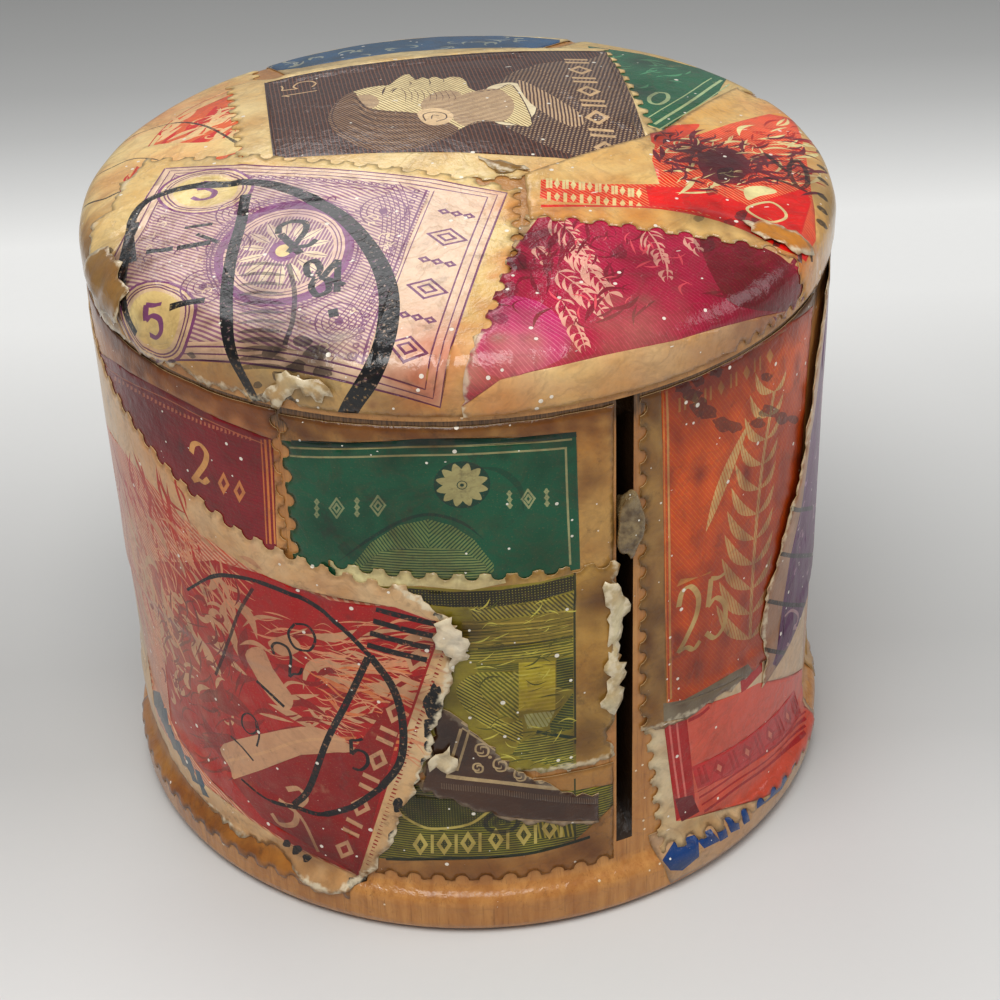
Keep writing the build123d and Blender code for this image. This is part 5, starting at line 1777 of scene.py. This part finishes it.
def standard_art(corners, ink, digit, seed, motif):
    """A generic stamp: frame, hatched ground, a medallion, a figure of value and part of a cancel."""
    b = Board(lambda x, y: (x, y))
    c = np.asarray(corners, float)
    pale = b.style(tuple(int(v + (c - v) * 0.8) for v, c in zip(ink, (232, 212, 172))))
    solid = b.style(ink)
    light = tuple(int(v + (c - v) * 0.5) for v, c in zip(ink, (226, 200, 156)))
    field = b.style(ink, light, 0.35 + 0.3 * (seed % 5), 0.26, 0.68)
    calm = b.style(ink, light, 1.57, 0.22, 0.5)
    mid = c[:4].mean(0)
    a, bb, cc, d = [mid + (q - mid) * 0.88 for q in c[:4]]

    def at(x, y):
        return (a * (1 - x) + bb * x) * (1 - y) + (d * (1 - x) + cc * x) * y
    wide, tall = np.hypot(*(bb - a)), np.hypot(*(d - a))

    def rect(x0, y0, x1, y1, style):
        b.add(mapped(at, [(x0, y0), ((x0 + x1) / 2, y0), (x1, y0), (x1, y1), ((x0 + x1) / 2, y1), (x0, y1)]),
              style)
    rect(0, 0, 1, 1, solid)
    rect(0.03, 0.03, 0.97, 0.97, pale)
    rect(0.045, 0.045, 0.955, 0.955, field)
    rect(0.06, 0.80, 0.94, 0.94, solid)
    frets(b, lambda x, y: at(0.09 + 0.5 * x, 0.825 + 0.09 * y), 5, pale, 0.14)
    numeral(b, digit, lambda x, y: at(0.70 + 0.16 * x, 0.815 + 0.11 * y), 0.36, pale)
    centre = at(0.5, 0.42)
    r = min(wide, tall) * 0.33
    b.add(disc(centre, r, 40), solid)
    b.add(disc(centre, r * 0.93, 40), pale)
    b.add(disc(centre, r * 0.88, 40), calm)
    if motif == 0:
        rosette(b, centre, r * 0.8, 12, pale, solid)
    elif motif == 1:
        for i in range(9):
            t = i / 8
            root = centre + np.array([0.0, r * (0.7 - 1.35 * t)])
            for s in (1, -1):
                b.add(leaf(root, root + np.array([s * r * 0.55 * (1 - 0.5 * t), -r * 0.22]), r * 0.09,
                           0.1 * s), pale)
        b.add(stroke(np.array([centre + (0, r * 0.75), centre - (0, r * 0.75)]), 0.18), pale)
    elif motif == 2:
        b.add(np.array([centre + r * 0.8 * np.array([math.cos(t), math.sin(t)]) * (1 if k % 2 else 0.42)
                        for k, t in enumerate(np.arange(0, 6.28, math.pi / 8))]), pale)
        b.add(disc(centre, r * 0.24, 20), solid)
    else:
        for k in range(5):
            y = -0.5 + 0.25 * k
            half = math.sqrt(max(0.05, 0.72 - y * y))
            path = [centre + r * np.array([x, y + 0.06 * math.sin(9 * x + k)])
                    for x in np.linspace(-half, half, 14)]
            b.add(stroke(curve(path, 2), 0.2, taper=0.15), pale)
    for x, y in ((0.12, 0.1), (0.88, 0.1)):
        b.add(disc(at(x, y), min(wide, tall) * 0.06, 16), solid)
        b.add(disc(at(x, y), min(wide, tall) * 0.045, 16), pale)
        b.add(disc(at(x, y), min(wide, tall) * 0.02, 10), solid)
    g = np.random.default_rng(seed)
    hub = at(g.uniform(0.0, 1.0), g.uniform(0.1, 0.9))
    m = b.style(None, mark=0.9)
    for q in (7.2, 4.6):
        t = np.linspace(0, 2 * math.pi, 60, endpoint=False)
        b.add(stroke(np.stack([hub[0] + q * np.cos(t), hub[1] + q * np.sin(t)], 1), 0.26, True), m)
    for i, dgt in enumerate(str(int(g.integers(10, 29))).replace("6", "8")):
        numeral(b, dgt, lambda x, y, i=i: hub + np.array([-1.6 + 1.9 * i + 1.2 * x, 1.0 - 2.0 * y]), 0.26, m,
                0.2)
    return b


LOOK = {
    "wall_buff": dict(paper=(176, 128, 72), soak=0.5, dirt=0.6),
    "wall_maroon": dict(paper=(204, 148, 98), soak=0.35, dirt=0.5, fade=0.05, coat=0.5),
    "wall_green": dict(paper=(190, 148, 92), soak=0.4, dirt=0.6, fade=0.05, coat=0.5),
    "wall_moss": dict(paper=(168, 124, 76), soak=0.4, dirt=0.6, fade=0.08, coat=0.5),
    "wall_olive": dict(paper=(178, 146, 90), soak=0.45, dirt=0.6, fade=0.16, coat=0.5),
    "wall_brown": dict(paper=(150, 128, 104), soak=0.2, dirt=0.5, fade=0.05, white=0.15),
    "wall_red": dict(paper=(222, 190, 150), soak=0.15, dirt=0.5, fade=0.1, white=0.9, coat=0.5),
    "wall_blue_scrap": dict(paper=(206, 180, 132), soak=0.2, dirt=0.4),
    "wall_orange": dict(paper=(168, 134, 84), soak=0.35, dirt=0.5, fade=0.06, coat=0.5),
    "wall_violet": dict(paper=(190, 150, 122), soak=0.15, dirt=0.4, fade=0.05, coat=0.4),
    "wall_rose": dict(paper=(222, 206, 172), soak=0.12, dirt=0.35, fade=0.06, coat=0.5),
    "wall_blue_base": dict(paper=(206, 178, 148), soak=0.25, dirt=0.5, fade=0.08),
    "lid_red": dict(paper=(240, 216, 160), soak=0.12, dirt=0.3),
    "lid_blue": dict(paper=(226, 206, 160), soak=0.2, dirt=0.4),
    "lid_green": dict(paper=(222, 196, 140), soak=0.25, dirt=0.5),
    "lid_tan": dict(paper=(196, 152, 104), soak=0.4, dirt=0.6),
    "lid_portrait": dict(paper=(238, 212, 158), soak=0.15, dirt=0.3, fade=0.04),
    "lid_lilac": dict(paper=(236, 208, 150), soak=0.25, dirt=0.45, fade=0.06),
    "lid_crimson": dict(paper=(238, 210, 158), soak=0.15, dirt=0.3, fade=0.1),
    "lid_pink": dict(paper=(236, 200, 138), soak=0.25, dirt=0.4, fade=0.1),
}
# Soft washes on each stamp: x and y in pixels, reach in pixels, a colour to multiply by and strength; a
# colour of None makes a milky patch, and those on the lid's crimson and lilac stamps are painted sheen.
WASHES = {
    "lid_lilac": [(520, 205, 26, (226, 150, 70), 0.8), (512, 262, 24, (226, 146, 62), 0.8),
                  (500, 310, 20, (232, 158, 84), 0.6),
                  (446, 352, 46, (236, 150, 140), 0.6), (420, 392, 30, (210, 130, 80), 0.7),
                  (380, 400, 24, (120, 84, 60), 0.5),
                  (128, 262, 30, (160, 120, 80), 0.7), (104, 290, 26, (84, 66, 46), 0.8),
                  (300, 378, 34, (100, 80, 62), 0.75),
                  (268, 336, 30, (120, 104, 96), 0.7), (256, 290, 22, (120, 100, 104), 0.6),
                  (180, 350, 40, (170, 140, 110), 0.5),
                  (318, 350, 22, (90, 80, 80), 0.7), (200, 240, 50, (230, 200, 190), 0.4),
                  (230, 380, 40, (150, 112, 70), 0.6),
                  (300, 210, 26, (140, 80, 140), 0.5), (262, 232, 20, (130, 70, 130), 0.5),
                  (345, 340, 16, None, 0.3)],
    "lid_portrait": [(620, 185, 40, (224, 140, 60), 0.7), (560, 170, 40, (236, 180, 100), 0.5),
                     (330, 150, 40, (220, 180, 120), 0.3),
                     (480, 80, 60, (200, 176, 150), 0.2), (640, 120, 20, (150, 120, 80), 0.6),
                     (255, 120, 16, (210, 170, 110), 0.5)],
    "lid_red": [(150, 110, 46, (240, 150, 130), 0.55), (170, 160, 40, (244, 170, 120), 0.5),
                (110, 180, 30, (214, 160, 110), 0.6),
                (90, 230, 30, (190, 150, 110), 0.7), (86, 270, 24, (120, 92, 64), 0.8),
                (230, 90, 30, (240, 170, 150), 0.4)],
    "lid_pink": [(560, 214, 40, (230, 156, 76), 0.6), (640, 214, 30, (226, 160, 84), 0.5),
                 (700, 216, 24, (110, 96, 70), 0.7),
                 (752, 226, 22, (90, 76, 64), 0.75), (796, 246, 22, (222, 130, 60), 0.8),
                 (724, 160, 34, (120, 60, 70), 0.75),
                 (690, 150, 26, (140, 70, 76), 0.6), (660, 135, 20, (120, 70, 60), 0.6),
                 (800, 170, 20, (170, 90, 90), 0.6),
                 (830, 200, 14, (120, 110, 90), 0.6), (780, 110, 40, (244, 170, 150), 0.5),
                 (600, 190, 30, (220, 140, 110), 0.4)],
    "lid_crimson": [(480, 300, 40, (150, 84, 110), 0.8), (536, 232, 26, (130, 70, 80), 0.7),
                    (524, 262, 20, (110, 60, 80), 0.7),
                    (700, 300, 90, (190, 130, 150), 0.4), (500, 392, 46, (228, 160, 80), 0.7),
                    (620, 376, 40, (234, 190, 130), 0.5),
                    (780, 330, 40, (226, 166, 96), 0.7), (760, 290, 40, (150, 80, 90), 0.6),
                    (640, 260, 26, (150, 70, 96), 0.5),
                    (520, 350, 36, None, 0.28), (470, 370, 22, None, 0.3), (640, 336, 40, None, 0.16)],
    "lid_green": [(640, 90, 24, (90, 80, 60), 0.6), (700, 110, 30, (214, 180, 120), 0.4),
                  (650, 60, 20, (120, 110, 80), 0.6)],
    "lid_blue": [(380, 45, 60, (210, 200, 170), 0.5), (480, 44, 40, (150, 150, 140), 0.6),
                 (300, 66, 30, (170, 150, 120), 0.6)],
    "lid_tan": [(520, 190, 40, (200, 120, 60), 0.8), (600, 170, 50, (220, 140, 70), 0.6)],
    "wall_maroon": [(130, 380, 40, (150, 110, 90), 0.6), (240, 440, 40, (180, 120, 110), 0.5),
                    (280, 420, 20, (120, 84, 54), 0.6)],
    "wall_green": [(300, 440, 24, (150, 112, 70), 0.7), (590, 480, 20, (150, 112, 66), 0.6),
                   (420, 520, 40, (150, 160, 130), 0.4),
                   (330, 530, 30, (120, 130, 110), 0.5), (540, 560, 30, (170, 160, 110), 0.5)],
    "wall_olive": [(600, 600, 26, (120, 84, 48), 0.75), (470, 632, 22, (100, 74, 46), 0.8),
                   (590, 740, 30, (110, 84, 54), 0.7),
                   (450, 700, 26, (110, 90, 60), 0.7), (520, 650, 40, (200, 190, 120), 0.4),
                   (610, 680, 16, (90, 62, 36), 0.7), (540, 720, 34, (150, 130, 80), 0.5)],
    "wall_brown": [(450, 740, 26, (90, 70, 54), 0.7), (560, 780, 40, (130, 110, 90), 0.5)],
    "wall_moss": [(420, 800, 30, (100, 84, 50), 0.75), (590, 846, 24, (140, 104, 60), 0.7),
                  (500, 800, 60, (190, 176, 110), 0.4), (470, 870, 40, (150, 110, 66), 0.5)],
    "wall_red": [(150, 470, 40, (236, 190, 170), 0.5), (330, 590, 30, (210, 170, 140), 0.5),
                 (310, 850, 30, (130, 100, 74), 0.7),
                 (440, 640, 20, (120, 90, 66), 0.7), (420, 700, 20, (150, 110, 84), 0.6),
                 (380, 880, 26, (100, 84, 72), 0.7),
                 (250, 620, 60, (210, 150, 130), 0.4), (170, 640, 34, None, 0.22), (140, 560, 20, None, 0.35),
                 (150, 700, 24, None, 0.3)],
    "wall_orange": [(700, 404, 34, (130, 96, 60), 0.65), (740, 380, 30, (150, 100, 60), 0.5),
                    (780, 620, 40, (150, 110, 66), 0.75),
                    (690, 670, 34, (160, 130, 80), 0.65), (655, 470, 16, (190, 150, 100), 0.5),
                    (655, 620, 16, (140, 110, 70), 0.7),
                    (730, 560, 60, (200, 150, 110), 0.45), (800, 440, 20, (150, 96, 60), 0.6)],
    "wall_rose": [(690, 720, 30, (210, 180, 170), 0.4), (780, 700, 30, (210, 150, 140), 0.5),
                  (700, 820, 24, (200, 180, 140), 0.4)],
    "wall_violet": [(800, 640, 26, (130, 96, 90), 0.5), (780, 600, 16, (190, 170, 160), 0.3)],
}
HIDDEN = {
    "wall_teal": ((24, 96, 100), "5", 0), "wall_ochre": ((168, 108, 34), "2", 1),
    "wall_slate": ((62, 72, 88), "8", 2),
    "wall_coral": ((196, 86, 62), "1", 3), "wall_cocoa": ((96, 62, 44), "3", 1),
    "wall_sage": ((86, 112, 76), "4", 0),
    "wall_plum": ((98, 34, 70), "7", 2), "wall_straw": ((176, 140, 72), "5", 3),
    "wall_navy": ((34, 50, 92), "9", 0),
    "wall_vermilion": ((190, 56, 34), "2", 1),
}


def violet_lift(uv):
    """The violet stamp stands off the wall along its torn left side."""
    left = line_distance([(19.8, 39.5), (15.5, 27), (11.9, 19.4)], uv)
    return 0.34 * (1 - smooth(left, 0.0, 3.6)) * smooth(uv[:, 1], 15, 30)


def olive_lift(uv):
    """The olive stamp's torn side curls up beside the slot."""
    return 0.28 * smooth(uv[:, 0], -2.2, -0.9) * smooth(uv[:, 1], 13, 17) * (0.7 + 0.3 * wobble(uv, 2.5, 9))


def red_lift(uv):
    """The red stamp's torn right side has sprung a little."""
    near = line_distance([(-10.4, 25.2), (-11.5, 19.4), (-13.5, 12)], uv)
    return 0.16 * (1 - smooth(near, 0.0, 1.2)) * (0.6 + 0.4 * wobble(uv, 2.0, 4))


LIFTS = {"wall_violet": violet_lift, "wall_olive": olive_lift, "wall_red": red_lift}


def lay(key, spec):
    """Draws, paints and places one stamp or torn flake."""
    look = LOOK.get(key, HIDDEN_PAPER)
    if key in HIDDEN:
        ink, digit, motif = HIDDEN[key]
        board = standard_art(spec["corners"], ink, digit, spec["seed"], motif)
        spec["coarse"] = HIDDEN_COARSE
    else:
        board = Board(SPOTS[spec["body"]])
        if key in ARTS:
            ARTS[key](board)
    spec.setdefault("lift", LIFTS.get(key))
    make_stamp(spec | {"key": key, "board": board, "paper": look["paper"],
                       "material": paper_material("paper_" + key, **look)})


SPOTS = {"box": on_wall, "lid": on_lid}
HIDDEN_COARSE = 1.3
HIDDEN_PAPER = dict(paper=(204, 174, 124), soak=0.3, dirt=0.45)
seed = 100
for body, group, table in (("box", "wall_", WALL), ("lid", "lid_", LID)):
    for name, layer, kinds, corners in sorted(table, key=lambda row: row[1]):
        seed += 1
        kinds = kinds.split()
        if body == "lid":
            corners, kinds = lid_corners(corners, kinds)
        lay(group + name, dict(name="stamp_" + group + name, node=group + "stamp_" + name, body=body,
                               layer=layer, corners=corners, kinds=kinds, seed=seed))


def curl(height, mid, seed):
    """A flake's edges stand off the paper, unevenly."""
    def lift(uv):
        out = np.hypot(*(uv - mid).T)
        return height * smooth(out, 0.1, 0.9) * (0.55 + 0.45 * wobble(uv, 2.2, seed)).clip(0, 1)
    return lift


# Torn flakes: name, body, layer, the stamp that each comes off, how far its edge curls, its paper, and its
# outline in pixels
CHIPS = [
    ("chip_olive_curl", "box", 4, "wall_stamp_olive", 0.34, (214, 200, 164), [
        (604, 580), (620, 586), (629, 600), (624, 618), (619, 642), (624, 668), (623, 698), (614, 714),
        (600, 706),
        (611, 676), (607, 640), (610, 612)]),
    ("chip_red_flap", "box", 5, "wall_stamp_red", 0.42, (238, 228, 206), [
        (434, 622), (452, 616), (468, 636), (470, 655), (454, 670), (446, 652), (436, 646)]),
    ("chip_red_scrap", "box", 5, "wall_stamp_red", 0.25, (222, 206, 172), [
        (436, 752), (450, 744), (458, 758), (448, 772), (430, 770)]),
    ("chip_lilac_scab", "lid", 8, "lid_stamp_lilac", 0.22, (150, 118, 74), [
        (88, 262), (110, 248), (124, 264), (130, 292), (121, 322), (104, 312), (92, 290)]),
    ("chip_lilac_shred", "lid", 8, "lid_stamp_lilac", 0.2, (206, 184, 142), [
        (262, 396), (286, 370), (298, 376), (334, 396), (322, 403), (294, 390), (270, 408)]),
    ("chip_pink_crust", "lid", 8, "lid_stamp_pink", 0.2, (196, 132, 66), [
        (742, 222), (770, 224), (800, 238), (812, 256), (790, 252), (764, 242)]),
    ("chip_tan_tear", "lid", 8, "lid_stamp_tan", 0.06, (150, 118, 66), [
        (478, 155), (500, 159), (524, 164), (530, 170), (512, 171), (488, 165)]),
]
for name, body, layer, node, height, paper, outline_px in CHIPS:
    seed += 1
    ring = [tuple(SPOTS[body](*q)) for q in outline_px]
    LOOK[name] = dict(paper=paper, soak=0.25, dirt=0.35, white=0.8)
    lay(name, dict(name=name, node=node, body=body, layer=layer, corners=ring, kinds=["torn"] * len(ring),
                   seed=seed,
                   lift=curl(height, np.mean(ring, 0), seed), chip=True))

# The wood# The wood


def dress(key, tones, **more):
    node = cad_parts[key]
    node.data.materials.clear()
    node.data.materials.append(wood_material("wood_" + key, tones, **more))


dress("body", ((198, 140, 76), (176, 116, 58), (150, 92, 44)), sawn_slot=True)
dress("lid", ((196, 142, 82), (174, 120, 64), (146, 96, 50)), streak=(1.0, 0.14, 1.0))


def varnish_lump():
    """The dried drop of varnish over the slot, with its tongue inside."""
    around, up = 40, 28
    half_wide, half_tall, stands_out, tongue = 0.84, 2.25, 0.42, 1.5
    face = WALL_R + GLUE + 3 * LAYER - 0.1
    rows = []
    for j in range(up + 1):
        t = math.pi * j / up
        for i in range(around):
            a = 2 * math.pi * i / around
            x, y, z = math.sin(t) * math.cos(a), math.sin(t) * math.sin(a), math.cos(t)
            lump = 1 + 0.10 * math.sin(3 * a + 2 * t) * math.sin(t) + 0.08 * math.sin(5 * t + a)
            narrow = 1 - 0.45 * max(y, 0)
            rows.append(((BEAD_SIDE * 0.6 + half_wide * x * lump) * narrow,
                         (tongue if y > 0 else stands_out) * y * lump - face,
                         BEAD_Z + half_tall * z * lump))
    faces = []
    for j in range(0, up * around, around):
        for i in range(around):
            k = (i + 1) % around
            faces.append((j + i, j + k, j + around + k, j + around + i))
    mesh = make_mesh("varnish_lump", np.array(rows) * MM, faces)
    mesh.polygons.foreach_set("use_smooth", np.ones(len(faces), bool))
    tree = Tree("dried_varnish")
    p = tree.space()
    cloud = tree.noise(p, 0.8, 5.0, 0.65)
    colour = tree.mix(cloud.step(0.35, 0.65), rgb(84, 62, 34), rgb(140, 118, 80))
    dirt = tree.noise(p, 0.4, 5.0, 0.7)
    colour = tree.mix(dirt.step(0.58, 0.68) * 0.8, colour, rgb(50, 38, 22))
    flecks_and_glints = specks(tree, tree.moved(p, (2.2, 2.2, 2.2)))
    # White dots of dust and painted glints.
    tree.set(Base_Color=tree.mix(flecks_and_glints, colour, rgb(245, 240, 225)))
    varnish(tree, p, flecks_and_glints, 0.15, 2.2)
    mesh.materials.append(tree.material)
    lump = add_object("varnish_lump", mesh)
    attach(lump, "box")
    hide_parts("varnish_bead")


varnish_lump()

# Floor, lights, camera

# The floor's grey, by how far a place lies behind the box along the camera's line of sight, in millimetres
SWEEP_START, SWEEP_SPAN = -40.0, 200.0
# These greys are painted light and shade: a darker band beside the box is its painted shadow, the floor
# behind it is painted brighter, and the far floor is painted darker.
SWEEP = [(-40, 0.74), (-18, 0.62), (-6, 0.50), (5, 0.475), (17, 0.53), (30, 0.60), (45, 0.70), (60, 0.82),
         (78, 0.85), (92, 0.66), (106, 0.49), (119, 0.385), (134, 0.325), (152, 0.275)]
FLOOR_HALF = 3.0


def pale_floor():
    """A wide plain floor whose tone follows the photograph's paper sweep."""
    square = np.array([(-1, -1, 0), (1, -1, 0), (1, 1, 0), (-1, 1, 0)])
    mesh = make_mesh("floor", square * FLOOR_HALF, [(0, 1, 2, 3)])
    tree = Tree("pale_floor")
    p = tree.space()
    x, y, _ = tree.split(p)
    behind = (x * -TURN_AXIS[0] + y * -TURN_AXIS[1] - SWEEP_START) / SWEEP_SPAN
    # The ramp paints the floor's light and shade.
    sweep = new_node(tree.nodes, "ValToRGB", {0: behind})
    stops = sweep.sock.node.color_ramp.elements
    for i, (distance, grey) in enumerate(SWEEP):
        stop = stops[i] if i < 2 else stops.new(1.0)
        stop.position = (distance - SWEEP_START) / SWEEP_SPAN
        stop.color = (grey, grey, grey * 0.985, 1.0)
    speckle = tree.noise(p, 1.5, 2.0)
    tree.set(Base_Color=tree.mix((speckle - 0.5).abs() * 0.05, sweep, (0.3, 0.3, 0.3)), Roughness=0.62)
    mesh.materials.append(tree.material)
    add_object("floor", mesh)


pale_floor()


def soft_light(name, place, size, power, colour=(1, 1, 1)):
    """A round lamp aimed at the box."""
    light = bpy.data.lights.new(name, "AREA")
    light.shape, light.size, light.energy, light.color = "DISK", size, power, colour
    obj = add_object(name, light)
    obj.location = place
    obj.rotation_mode = "QUATERNION"
    obj.rotation_quaternion = (Vector((0, 0, 0.02)) - Vector(place)).to_track_quat("-Z", "Y")


soft_light("key", (-0.10, -0.14, 0.42), 0.28, 1.5, (1.0, 0.985, 0.96))
soft_light("side", (0.42, -0.18, 0.26), 0.25, 0.42, (0.96, 0.98, 1.0))
soft_light("rear", (0.05, 0.32, 0.34), 0.22, 0.32)
world = bpy.data.worlds.new("world")
bpy.context.scene.world = world
world.use_nodes = True
sky = world.node_tree.nodes["Background"]
sky.inputs["Color"].default_value = (0.86, 0.88, 0.9, 1)
sky.inputs["Strength"].default_value = 0.34

lens = bpy.data.cameras.new("camera")
lens.sensor_width = 36.0
lens.lens = CAM_FOCAL_PX * lens.sensor_width / FRAME_PX
lens.shift_x = 0.5 - CAM_CENTRE_PX[0] / FRAME_PX
lens.shift_y = CAM_CENTRE_PX[1] / FRAME_PX - 0.5
lens.clip_start, lens.clip_end = 0.01, 20.0
camera = add_object("camera", lens)
bpy.context.scene.camera = camera
turned = Matrix((RIGHT, UPWARD, EYE)).transposed().to_4x4()
camera.matrix_world = Matrix.Translation(CAM_PLACE * MM) @ turned
bpy.context.scene.view_settings.view_transform = "Standard"
